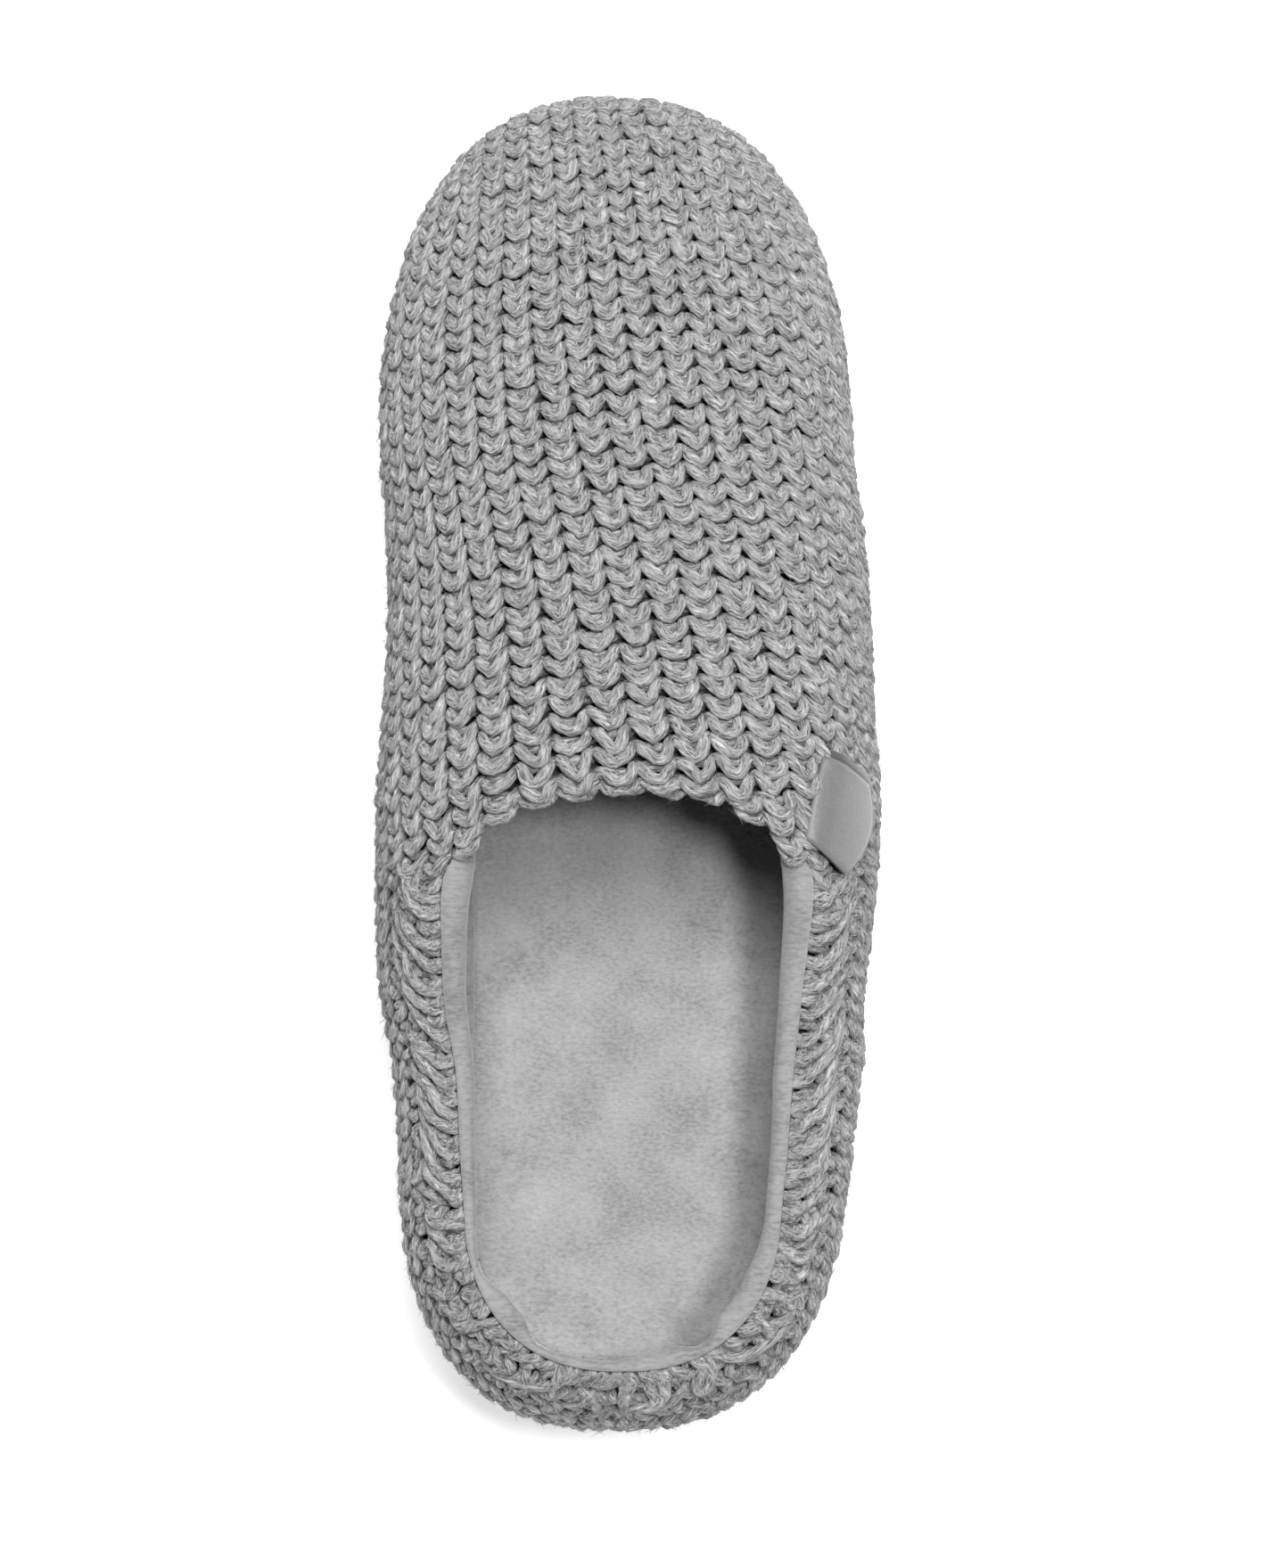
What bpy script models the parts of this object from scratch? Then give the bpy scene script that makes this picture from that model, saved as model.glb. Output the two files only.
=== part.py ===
"""Right-foot knitted house slipper with a closed heel: outsole, insole, hollow padded upper and side label.

Sizes are in millimetres and become metres where a mesh is made. +X is the outer side of the foot,
+Y points to the toe, +Z is up, and the sole stands on z = 0.
"""

import math
from collections import namedtuple

import bmesh
import bpy
from mathutils import Vector

MM = 0.001

# Driving sizes of the shoe
LENGTH = 282.0
HEEL_Y = -LENGTH / 2
TOE_Y = LENGTH / 2
GAP = 0.3
SOLE_HEIGHT = 8.5
TOE_SPRING = 5.0
SPRING_START = 88.0
ARCH_LIFT = 1.5
ARCH_START = -62.0
ARCH_END = 8.0
BED_HEIGHT = 7.0

# Rounding of the last in plan and in section, as superellipse powers
PLAN_POWER = 2.35
SECTION_POWER = 2.3
TOE_ROUND_Y = 66.0
TOE_POWER = 2.4
HEEL_ROUND_Y = -84.0
HEEL_POWER = 2.35

# Wall of knit, foam and plush
WALL_AT_SIDE = 8.0
WALL_AT_SOLE = 7.0
WIDEST_HEIGHT = 22.0
UNDER_TURN = math.radians(65.0)
SOLE_INSET = 5.5

# Opening of the collar and throat, measured on the seam where the knit ends
THROAT_Y = -2.5
COLLAR_BACK_Y = -126.0
THROAT_ROUND_Y = -32.0
THROAT_POWER = 2.7
COLLAR_ROUND_Y = -92.0
COLLAR_POWER = 2.3

# Mesh fineness
SIDE_STEPS = 46
UNDER_STEPS = 3
OUTER_STEPS = 11
LIP_STEPS = 6
INNER_STEPS = 8

# The last: half width, middle line and top height, then the same two for the sole's outline
Section = namedtuple("Section", "y half shift crown sole_half sole_shift")
LAST = (
    Section(-141.0, 48.4, -2.4, 66.0, 42.3, -2.2),
    Section(-105.0, 47.4, -1.4, 61.5, 41.6, -1.2),
    Section(-84.0, 48.1, -0.7, 58.0, 41.6, -0.2),
    Section(-65.0, 49.8, 0.0, 58.0, 41.8, 0.8),
    Section(-46.0, 51.7, -1.2, 62.5, 42.2, 1.4),
    Section(-27.0, 53.1, -0.4, 71.5, 42.8, 1.8),
    Section(-8.0, 53.4, 0.1, 75.0, 43.6, 1.7),
    Section(10.0, 52.3, 0.2, 72.5, 44.4, 1.2),
    Section(30.0, 51.2, 0.4, 68.0, 45.2, 0.6),
    Section(48.0, 50.7, -0.5, 64.0, 45.4, -0.7),
    Section(67.0, 50.2, -2.3, 59.5, 45.2, -2.2),
    Section(100.0, 50.0, -2.9, 51.5, 45.0, -2.9),
    Section(141.0, 49.5, -3.4, 44.5, 44.8, -3.4),
)

# The seam line: half width, middle line and the thickness of the rolled edge
Rim = namedtuple("Rim", "y half shift edge")
OPENING = (
    Rim(-126.0, 32.5, -1.2, 5.6),
    Rim(-95.0, 33.2, -1.0, 5.6),
    Rim(-81.0, 34.3, -0.8, 5.8),
    Rim(-65.0, 35.3, -0.6, 6.2),
    Rim(-50.0, 37.3, -1.0, 7.2),
    Rim(-35.0, 38.4, -0.4, 8.4),
    Rim(-22.0, 39.0, 0.2, 9.0),
    Rim(-2.5, 39.1, 0.3, 8.0),
)

# Where a line up the wall starts on the widest line and ends on the opening, as shares of the way to the toe
Rib = namedtuple("Rib", "start end")
RIBS = (
    Rib(0.0, 0.0),
    Rib(0.223, 0.289),
    Rib(0.349, 0.518),
    Rib(0.456, 0.775),
    Rib(0.62, 0.895),
    Rib(1.0, 1.0),
)

# Side face of the outsole, from its top down: height in the sole and inset of each step
Ring = namedtuple("Ring", "height inset")
SOLE_RINGS = (
    Ring(SOLE_HEIGHT - GAP, 1.4),
    Ring(SOLE_HEIGHT - GAP - 0.9, 0.3),
    Ring(6.3, 0.0),
    Ring(5.8, 0.8),
    Ring(4.9, 0.8),
    Ring(4.4, 0.0),
    Ring(1.6, 0.3),
    Ring(0.0, 2.0),
)
SOLE_GROW = 1.0
BED_RINGS = (
    Ring(SOLE_HEIGHT, 1.2),
    Ring(SOLE_HEIGHT + 1.4, 0.0),
    Ring(SOLE_HEIGHT + BED_HEIGHT - 1.8, 0.0),
    Ring(SOLE_HEIGHT + BED_HEIGHT - 0.5, 1.0),
    Ring(SOLE_HEIGHT + BED_HEIGHT, 3.0),
)
BED_INSET = WALL_AT_SOLE + GAP + 0.1

# Tread: chevron grooves under forefoot and heel
GROOVE_WIDTH = 2.4
GROOVE_DEPTH = 1.5
GROOVE_RISE = 7.0
GROOVE_MARGIN = 8.0
GROOVE_STEP = 9.5
Tread = namedtuple("Tread", "start count")
TREADS = (Tread(-119.0, 5), Tread(14.0, 9))

# Label: a folded ribbon on the wall beside the outer throat corner, by its corners in plan
LABEL_FRONT_INNER = (41.5, 0.8)
LABEL_FRONT_OUTER = (49.2, -4.4)
LABEL_BACK_INNER = (38.6, -16.0)
LABEL_BACK_OUTER = (43.8, -22.8)
LABEL_THICK = 1.0
LABEL_STEPS = 5


def along(rows, column, place):
    """Value of a table's column at a place, on a smooth curve through its rows."""
    axis = rows[0]._fields[0]
    at = [getattr(row, axis) for row in rows]
    value = [getattr(row, column) for row in rows]
    place = min(max(place, at[0]), at[-1])
    slopes = [(value[i + 1] - value[i]) / (at[i + 1] - at[i]) for i in range(len(at) - 1)]
    tangents = [slopes[0]]
    for before, after in zip(slopes, slopes[1:]):
        same_way = before * after > 0
        tangents.append(2 * before * after / (before + after) if same_way else 0.0)
    tangents.append(slopes[-1])
    i = max(k for k in range(len(at) - 1) if at[k] <= place)
    span = at[i + 1] - at[i]
    t = (place - at[i]) / span
    hold = (1 + 2 * t) * (1 - t) ** 2
    turn = t * (1 - t) ** 2
    next_hold = t * t * (3 - 2 * t)
    next_turn = t * t * (t - 1)
    return (
        hold * value[i]
        + turn * span * tangents[i]
        + next_hold * value[i + 1]
        + next_turn * span * tangents[i + 1]
    )


def rounding(y, start, end, power):
    """How far an end has closed at y: 0 up to its start, 1 at its tip."""
    return min(1.0, max(0.0, (y - start) / (end - start)) ** power)


def spring(y):
    """Rise of the sole towards the toe."""
    return TOE_SPRING * max(0.0, (y - SPRING_START) / (TOE_Y - SPRING_START)) ** 2


def arch(y):
    """Lift of the sole's underside at the waist."""
    share = (y - ARCH_START) / (ARCH_END - ARCH_START)
    return ARCH_LIFT * math.sin(math.pi * share) ** 2 if 0 < share < 1 else 0.0


def ring_point(angle, half_column, shift_column, ends, sides):
    """Point in plan on a ring of the last, set in at its ends and sides. Angle 0 is the heel, pi the toe."""
    heel, toe = HEEL_Y + ends, TOE_Y - ends
    y = heel + (toe - heel) * (1 - math.cos(angle)) / 2
    closed = rounding(y, TOE_ROUND_Y, toe, TOE_POWER) + rounding(-y, -HEEL_ROUND_Y, -heel, HEEL_POWER)
    half = (along(LAST, half_column, y) - sides) * max(0.0, 1 - closed) ** (1 / PLAN_POWER)
    side = 1.0 if angle <= math.pi else -1.0
    return Vector((along(LAST, shift_column, y) + side * half, y))


def widest(angle):
    return ring_point(angle, "half", "shift", 0.0, 0.0)


def feather(angle, inset=0.0):
    """Sole outline where the wall meets the sole, tucked in under the widest line."""
    return ring_point(angle, "sole_half", "sole_shift", SOLE_INSET + inset, inset)


def opening(angle):
    """Edge of the collar and throat in plan, matched to a wall line that starts at this angle."""
    share = angle / math.pi if angle <= math.pi else 2 - angle / math.pi
    turn = math.pi * along(RIBS, "end", share)
    y = COLLAR_BACK_Y + (THROAT_Y - COLLAR_BACK_Y) * (1 - math.cos(turn)) / 2
    closed = rounding(y, THROAT_ROUND_Y, THROAT_Y, THROAT_POWER)
    closed += rounding(-y, -COLLAR_ROUND_Y, -COLLAR_BACK_Y, COLLAR_POWER)
    half = along(OPENING, "half", y) * max(0.0, 1 - closed) ** (1 / PLAN_POWER)
    side = 1.0 if angle <= math.pi else -1.0
    return Vector((along(OPENING, "shift", y) + side * half, y))


def widest_height(y):
    return WIDEST_HEIGHT + spring(y) / 2


def crown_height(x, y):
    """Height of the last's upper face over a point in plan."""
    across = abs((x - along(LAST, "shift", y)) / along(LAST, "half", y)) ** PLAN_POWER
    closed = rounding(y, TOE_ROUND_Y, TOE_Y, TOE_POWER) + rounding(-y, -HEEL_ROUND_Y, -HEEL_Y, HEEL_POWER)
    left = max(0.0, 1 - across - closed) ** (1 / SECTION_POWER)
    low = widest_height(y)
    return low + (along(LAST, "crown", y) - low) * left


def wall_point(angle, rise):
    """Outer face of the upper. Rise is -1 at the sole, 0 on the widest line and 1 at the opening."""
    outer = widest(angle)
    if rise >= 0:
        plan = outer.lerp(opening(angle), rise * rise)
        height = crown_height(plan.x, plan.y) if rise > 0 else widest_height(plan.y)
        return Vector((plan.x, plan.y, height))
    turn = UNDER_TURN * -rise
    share = (1 - math.cos(turn)) / (1 - math.cos(UNDER_TURN))
    plan = outer.lerp(feather(angle), share)
    low = SOLE_HEIGHT + spring(plan.y)
    high = widest_height(plan.y)
    return Vector((plan.x, plan.y, high - (high - low) * math.sin(turn) / math.sin(UNDER_TURN)))


def wall_frame(angle, rise):
    """Outward normal of the outer face and the direction up the wall."""
    step = 0.004
    low, high = max(rise - step, 0.0), min(rise + step, 1.0)
    up = (wall_point(angle, high) - wall_point(angle, low)).normalized()
    before = wall_point(angle - step, max(rise, step))
    after = wall_point(angle + step, max(rise, step))
    return (after - before).cross(up).normalized(), up


def lining_point(angle, rise):
    """Inner face of the upper, one wall thickness inside the outer face."""
    outer = wall_point(angle, rise)
    if rise >= 0:
        normal = wall_frame(angle, rise)[0]
        return outer - normal * (WALL_AT_SIDE + (edge_thickness(angle) - WALL_AT_SIDE) * rise)
    normal = wall_frame(angle, 0.0)[0]
    flat = Vector((normal.x, normal.y, 0)).normalized()
    return outer - flat * (WALL_AT_SIDE + (WALL_AT_SOLE - WALL_AT_SIDE) * -rise)


def edge_thickness(angle):
    return along(OPENING, "edge", opening(angle).y)


def lip_point(angle, turn):
    """Rolled edge of the opening: half a turn from the outer face to the inner one."""
    normal, up = wall_frame(angle, 1.0)
    radius = edge_thickness(angle) / 2
    return wall_point(angle, 1.0) - normal * radius * (1 - math.cos(turn)) + up * radius * math.sin(turn)


def material(name, colour, roughness):
    made = bpy.data.materials.new(name)
    made.use_nodes = True
    shader = made.node_tree.nodes["Principled BSDF"]
    shader.inputs["Base Color"].default_value = (*colour, 1.0)
    shader.inputs["Roughness"].default_value = roughness
    shader.inputs["Metallic"].default_value = 0.0
    return made


def make_object(name, bm, finish):
    """Turns a bmesh in millimetres into a named, outward-facing object in metres."""
    bmesh.ops.remove_doubles(bm, verts=bm.verts, dist=0.001)
    bmesh.ops.recalc_face_normals(bm, faces=bm.faces)
    bmesh.ops.scale(bm, vec=(MM, MM, MM), verts=bm.verts)
    mesh = bpy.data.meshes.new(name)
    bm.to_mesh(mesh)
    bm.free()
    mesh.shade_smooth()
    mesh.set_sharp_from_angle(angle=math.radians(40))
    mesh.materials.append(finish)
    made = bpy.data.objects.new(name, mesh)
    bpy.context.scene.collection.objects.link(made)
    return made


def ring_angles():
    return [math.pi * i / SIDE_STEPS for i in range(2 * SIDE_STEPS)]


def bridge(bm, first, second):
    """Quads between two closed rings of vertices with the same count."""
    for i in range(len(first)):
        j = (i + 1) % len(first)
        bm.faces.new((first[i], first[j], second[j], second[i]))


def cap(bm, ring):
    """Flat strips across a ring, from its outer side to the matching point of its inner side."""
    half = len(ring) // 2
    bm.faces.new((ring[0], ring[1], ring[-1]))
    for i in range(1, half - 1):
        bm.faces.new((ring[i], ring[i + 1], ring[-i - 1], ring[-i]))
    bm.faces.new((ring[half - 1], ring[half], ring[half + 1]))


def build_upper(finish):
    """Knit, foam and plush as one hollow wall, open at the collar and underneath."""
    bm = bmesh.new()
    rows = [lambda a, k=k: wall_point(a, k / UNDER_STEPS - 1) for k in range(UNDER_STEPS)]
    rows += [lambda a, k=k: wall_point(a, k / OUTER_STEPS) for k in range(OUTER_STEPS + 1)]
    rows += [lambda a, k=k: lip_point(a, math.pi * k / LIP_STEPS) for k in range(1, LIP_STEPS)]
    rows += [lambda a, k=k: lining_point(a, 1 - k / INNER_STEPS) for k in range(INNER_STEPS + 1)]
    rows += [lambda a, k=k: lining_point(a, -k / UNDER_STEPS) for k in range(1, UNDER_STEPS + 1)]
    rings = [[bm.verts.new(row(a)) for a in ring_angles()] for row in rows]
    for first, second in zip(rings, rings[1:] + rings[:1]):
        bridge(bm, first, second)
    return make_object("upper", bm, finish)


def layered_slab(bm, rings, inset, lifts):
    """Slab from stepped rings of the sole outline, each raised by its lift at every y."""
    made = []
    for ring, lift in zip(rings, lifts):
        row = []
        for angle in ring_angles():
            plan = feather(angle, inset + ring.inset)
            row.append(bm.verts.new((plan.x, plan.y, ring.height + lift(plan.y))))
        made.append(row)
    for first, second in zip(made, made[1:]):
        bridge(bm, first, second)
    cap(bm, made[0])
    cap(bm, made[-1])


def build_insole(finish):
    bm = bmesh.new()
    layered_slab(bm, BED_RINGS, BED_INSET, [spring] * len(BED_RINGS))
    return make_object("insole", bm, finish)


def groove(bm, y):
    """Cutter for one chevron groove: a bent bar across the sole, pointing to the toe."""
    reach = along(LAST, "sole_half", y) - GROOVE_MARGIN
    middle = along(LAST, "sole_shift", y)
    line = [
        Vector((middle - reach, y)),
        Vector((middle - reach / 2, y + GROOVE_RISE)),
        Vector((middle, y)),
        Vector((middle + reach / 2, y + GROOVE_RISE)),
        Vector((middle + reach, y)),
    ]
    half = Vector((0, GROOVE_WIDTH / 2))
    low, high = -4.0, GROOVE_DEPTH
    loops = []
    for point in line:
        corners = ((point - half, low), (point + half, low), (point + half, high), (point - half, high))
        loops.append([bm.verts.new((p.x, p.y, z)) for p, z in corners])
    for first, second in zip(loops, loops[1:]):
        bridge(bm, first, second)
    bm.faces.new(loops[0])
    bm.faces.new(loops[-1])


def build_outsole(finish):
    """Moulded sole with a grooved side, a raised waist, toe spring and chevron tread."""
    bm = bmesh.new()
    under = lambda y: spring(y) + arch(y)
    lifts = [spring] * (len(SOLE_RINGS) - 1) + [under]
    layered_slab(bm, SOLE_RINGS, -SOLE_GROW, lifts)
    sole = make_object("outsole", bm, finish)
    bm = bmesh.new()
    for tread in TREADS:
        for i in range(tread.count):
            groove(bm, tread.start + i * GROOVE_STEP)
    cutter = make_object("tread_cutter", bm, finish)
    cutter.hide_render = True
    cutter.display_type = "WIRE"
    cut = sole.modifiers.new("Tread", "BOOLEAN")
    cut.operation = "DIFFERENCE"
    cut.object = cutter
    cut.solver = "EXACT"
    return sole


def above_wall(x, y, gap):
    """Point at a gap outside the upper's outer face, over a place in plan."""
    step = 0.4
    slope_x = (crown_height(x + step, y) - crown_height(x - step, y)) / (2 * step)
    slope_y = (crown_height(x, y + step) - crown_height(x, y - step)) / (2 * step)
    return Vector((x, y, crown_height(x, y))) + Vector((-slope_x, -slope_y, 1)).normalized() * gap


def build_label(finish):
    """Folded ribbon lying on the wall, square to the seam that holds it."""
    front = (Vector(LABEL_FRONT_INNER), Vector(LABEL_FRONT_OUTER))
    back = (Vector(LABEL_BACK_INNER), Vector(LABEL_BACK_OUTER))
    bm = bmesh.new()
    under, top = [], []
    for j in range(LABEL_STEPS + 1):
        inner = front[0].lerp(back[0], j / LABEL_STEPS)
        outer = front[1].lerp(back[1], j / LABEL_STEPS)
        for i in range(LABEL_STEPS + 1):
            plan = inner.lerp(outer, i / LABEL_STEPS)
            under.append(bm.verts.new(above_wall(plan.x, plan.y, GAP)))
            top.append(bm.verts.new(above_wall(plan.x, plan.y, GAP + LABEL_THICK)))
    wide = LABEL_STEPS + 1
    for j in range(LABEL_STEPS):
        for i in range(LABEL_STEPS):
            a = j * wide + i
            for sheet in (under, top):
                bm.faces.new((sheet[a], sheet[a + 1], sheet[a + 1 + wide], sheet[a + wide]))
    last = wide - 1
    border = [i for i in range(wide)] + [j * wide + last for j in range(1, wide)]
    border += [last * wide + i for i in range(last - 1, -1, -1)]
    border += [j * wide for j in range(last - 1, 0, -1)]
    bridge(bm, [under[k] for k in border], [top[k] for k in border])
    return make_object("label_tab", bm, finish)


def main():
    for old in list(bpy.data.objects):
        bpy.data.objects.remove(old)
    knit = material("grey_melange_knit", (0.42, 0.42, 0.42), 0.95)
    plush = material("grey_plush", (0.47, 0.47, 0.47), 0.9)
    rubber = material("dark_grey_rubber", (0.09, 0.09, 0.09), 0.7)
    ribbon = material("grey_satin_ribbon", (0.36, 0.36, 0.36), 0.45)
    build_upper(knit)
    build_insole(plush)
    build_outsole(rubber)
    build_label(ribbon)


main()
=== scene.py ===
# Knitted slipper, the looks: yarn stitches, plush lining, padded insole, ribbon label and rubber sole.
# Sizes are in millimetres until a mesh is made. +X is the outer side, +Y the toe, +Z up.
import math

import bmesh
import bpy
import numpy as np
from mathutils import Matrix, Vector


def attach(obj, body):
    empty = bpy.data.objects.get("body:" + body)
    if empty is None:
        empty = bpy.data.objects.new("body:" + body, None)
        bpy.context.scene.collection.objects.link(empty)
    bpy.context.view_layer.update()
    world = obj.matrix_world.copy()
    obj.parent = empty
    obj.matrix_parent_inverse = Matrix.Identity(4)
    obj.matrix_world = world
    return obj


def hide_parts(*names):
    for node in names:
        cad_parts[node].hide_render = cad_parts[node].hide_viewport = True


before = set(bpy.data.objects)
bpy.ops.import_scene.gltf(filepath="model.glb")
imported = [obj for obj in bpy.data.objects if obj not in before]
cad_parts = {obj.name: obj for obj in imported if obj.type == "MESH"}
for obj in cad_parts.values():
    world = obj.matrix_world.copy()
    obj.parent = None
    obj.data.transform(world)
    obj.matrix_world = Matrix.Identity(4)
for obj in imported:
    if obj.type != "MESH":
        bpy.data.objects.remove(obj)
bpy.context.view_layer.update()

mm = 0.001
pi = math.pi

# The last that every piece is laid on, the same as the solids'
last = {
    "heelY": -141.0,
    "toeY": 141.0,
    "soleHeight": 8.5,
    "bedHeight": 7.0,
    "toeSpring": 5.0,
    "springStart": 88.0,
    "planPower": 2.35,
    "sectionPower": 2.3,
    "toeRound": (66.0, 2.4),
    "heelRound": (84.0, 2.35),
    "widestHeight": 22.0,
    "underTurn": math.radians(65.0),
    "soleInset": 5.5,
    "throatY": -2.5,
    "collarBackY": -126.0,
    "throatRound": (-32.0, 2.7),
    "collarRound": (92.0, 2.3),
    "wallAtSide": 8.0,
    "wallAtSole": 7.0,
}

# y, half width, middle line, top height, then the sole's half width and middle line
lastRows = (
    (-141.0, 48.4, -2.4, 66.0, 42.3, -2.2),
    (-105.0, 47.4, -1.4, 61.5, 41.6, -1.2),
    (-84.0, 48.1, -0.7, 58.0, 41.6, -0.2),
    (-65.0, 49.8, 0.0, 58.0, 41.8, 0.8),
    (-46.0, 51.7, -1.2, 62.5, 42.2, 1.4),
    (-27.0, 53.1, -0.4, 71.5, 42.8, 1.8),
    (-8.0, 53.4, 0.1, 75.0, 43.6, 1.7),
    (10.0, 52.3, 0.2, 72.5, 44.4, 1.2),
    (30.0, 51.2, 0.4, 68.0, 45.2, 0.6),
    (48.0, 50.7, -0.5, 64.0, 45.4, -0.7),
    (67.0, 50.2, -2.3, 59.5, 45.2, -2.2),
    (100.0, 50.0, -2.9, 51.5, 45.0, -2.9),
    (141.0, 49.5, -3.4, 44.5, 44.8, -3.4),
)

# y, half width, middle line and thickness of the rolled edge, along the seam where the knit ends
rimRows = (
    (-126.0, 32.5, -1.2, 5.6),
    (-95.0, 33.2, -1.0, 5.6),
    (-81.0, 34.3, -0.8, 5.8),
    (-65.0, 35.3, -0.6, 6.2),
    (-50.0, 37.3, -1.0, 7.2),
    (-35.0, 38.4, -0.4, 8.4),
    (-22.0, 39.0, 0.2, 9.0),
    (-2.5, 39.1, 0.3, 8.0),
)

# Start of a wall line on the widest line and its end on the opening, as shares of the way to the toe
ribRows = ((0.0, 0.0), (0.223, 0.289), (0.349, 0.518), (0.456, 0.775), (0.62, 0.895), (1.0, 1.0))


def smoothCurve(rows, column):
    # a smooth curve through one column of a table, with no overshoot
    at = np.array([row[0] for row in rows])
    value = np.array([row[column] for row in rows])
    slopes = np.diff(value) / np.diff(at)
    tangents = [slopes[0]]
    for before, after in zip(slopes, slopes[1:]):
        tangents.append(2 * before * after / (before + after) if before * after > 0 else 0.0)
    tangents = np.array(tangents + [slopes[-1]])

    def curve(place):
        place = np.clip(place, at[0], at[-1])
        i = np.clip(np.searchsorted(at, place, side="right") - 1, 0, len(at) - 2)
        span = at[i + 1] - at[i]
        t = (place - at[i]) / span
        start = (1 + 2 * t) * (1 - t) ** 2 * value[i] + t * (1 - t) ** 2 * span * tangents[i]
        return start + t * t * (3 - 2 * t) * value[i + 1] + t * t * (t - 1) * span * tangents[i + 1]

    return curve


halfAt, shiftAt, crownAt, soleHalfAt, soleShiftAt = [smoothCurve(lastRows, c) for c in range(1, 6)]
rimHalfAt, rimShiftAt, edgeAt = [smoothCurve(rimRows, c) for c in range(1, 4)]
ribEndAt = smoothCurve(ribRows, 1)


def rounding(y, start, end, power):
    return np.maximum(0.0, (y - start) / (end - start)) ** power


def lastClosed(y, inset=0.0):
    toeStart, toePower = last["toeRound"]
    heelStart, heelPower = last["heelRound"]
    toe = rounding(y, toeStart, last["toeY"] - inset, toePower)
    return toe + rounding(-y, heelStart, -last["heelY"] - inset, heelPower)


def rimClosed(y):
    frontStart, frontPower = last["throatRound"]
    backStart, backPower = last["collarRound"]
    front = rounding(y, frontStart, last["throatY"], frontPower)
    return front + rounding(-y, backStart, -last["collarBackY"], backPower)


def springAt(y):
    past = (y - last["springStart"]) / (last["toeY"] - last["springStart"])
    return last["toeSpring"] * np.maximum(0.0, past) ** 2


def widestHeight(y):
    return last["widestHeight"] + springAt(y) / 2


def crownHeight(x, y):
    across = np.abs((x - shiftAt(y)) / halfAt(y)) ** last["planPower"]
    left = np.maximum(0.0, 1 - across - lastClosed(y)) ** (1 / last["sectionPower"])
    low = widestHeight(y)
    return low + (crownAt(y) - low) * left


def ringPlan(angle, half, shift, ends, sides):
    # point on a ring of the last: angle 0 is the heel, pi the toe, by the outer side
    heel, toe = last["heelY"] + ends, last["toeY"] - ends
    y = heel + (toe - heel) * (1 - np.cos(angle)) / 2
    left = np.maximum(0.0, 1 - lastClosed(y, ends))
    reach = (half(y) - sides) * left ** (1 / last["planPower"])
    return np.stack([shift(y) + np.where(angle <= pi, 1.0, -1.0) * reach, y], -1)


def widestPlan(angle):
    return ringPlan(angle, halfAt, shiftAt, 0.0, 0.0)


def featherPlan(angle, inset=0.0):
    return ringPlan(angle, soleHalfAt, soleShiftAt, last["soleInset"] + inset, inset)


def openingPlan(angle):
    share = np.where(angle <= pi, angle / pi, 2 - angle / pi)
    turn = pi * ribEndAt(share)
    y = last["collarBackY"] + (last["throatY"] - last["collarBackY"]) * (1 - np.cos(turn)) / 2
    half = rimHalfAt(y) * np.maximum(0.0, 1 - rimClosed(y)) ** (1 / last["planPower"])
    return np.stack([rimShiftAt(y) + np.where(angle <= pi, 1.0, -1.0) * half, y], -1)


def unit(vectors):
    return vectors / np.maximum(np.linalg.norm(vectors, axis=-1, keepdims=True), 1e-9)


def clamp(value):
    return min(1.0, max(0.0, value))


def crownNormal(x, y, step):
    slopeX = (crownHeight(x + step, y) - crownHeight(x - step, y)) / (2 * step)
    slopeY = (crownHeight(x, y + step) - crownHeight(x, y - step)) / (2 * step)
    return unit(np.stack([-slopeX, -slopeY, np.ones_like(x)], -1))


def wallPoint(angle, rise):
    # outer face of the upper: rise is -1 at the sole, 0 on the widest line and 1 at the opening
    angle, rise = np.broadcast_arrays(np.asarray(angle, float), np.asarray(rise, float))
    outer = widestPlan(angle)
    up = np.maximum(rise, 0.0)[..., None]
    plan = outer + (openingPlan(angle) - outer) * up * up
    high = crownHeight(plan[..., 0], plan[..., 1])
    over = np.concatenate([plan, high[..., None]], -1)
    turn = last["underTurn"] * np.maximum(-rise, 0.0)
    share = (1 - np.cos(turn)) / (1 - math.cos(last["underTurn"]))
    plan = outer + (featherPlan(angle) - outer) * share[..., None]
    low = last["soleHeight"] + springAt(plan[..., 1])
    top = widestHeight(plan[..., 1])
    fall = top - (top - low) * np.sin(turn) / math.sin(last["underTurn"])
    under = np.concatenate([plan, fall[..., None]], -1)
    return np.where(rise[..., None] >= 0, over, under)


def wallFrame(angle, rise):
    # outward normal of the outer face and the direction up the wall
    step = 0.004
    rise = np.asarray(rise, float)
    above = wallPoint(angle, np.minimum(rise + step, 1.0))
    below = wallPoint(angle, np.maximum(rise - step, 0.0))
    up = unit(above - below)
    held = np.maximum(rise, step)
    around = wallPoint(angle + step, held) - wallPoint(angle - step, held)
    return unit(np.cross(around, up)), up


def edgeThickness(angle):
    return edgeAt(openingPlan(angle)[..., 1])


def liningPoint(angle, rise):
    angle, rise = np.broadcast_arrays(np.asarray(angle, float), np.asarray(rise, float))
    outer = wallPoint(angle, rise)
    normal = wallFrame(angle, np.maximum(rise, 0.0))[0]
    wall = last["wallAtSide"] + (edgeThickness(angle) - last["wallAtSide"]) * np.maximum(rise, 0.0)
    over = outer - normal * wall[..., None]
    flat = unit(wallFrame(angle, np.zeros_like(rise))[0] * np.array([1.0, 1.0, 0.0]))
    wall = last["wallAtSide"] + (last["wallAtSole"] - last["wallAtSide"]) * np.maximum(-rise, 0.0)
    return np.where(rise[..., None] >= 0, over, outer - flat * wall[..., None])


# Materials

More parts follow.
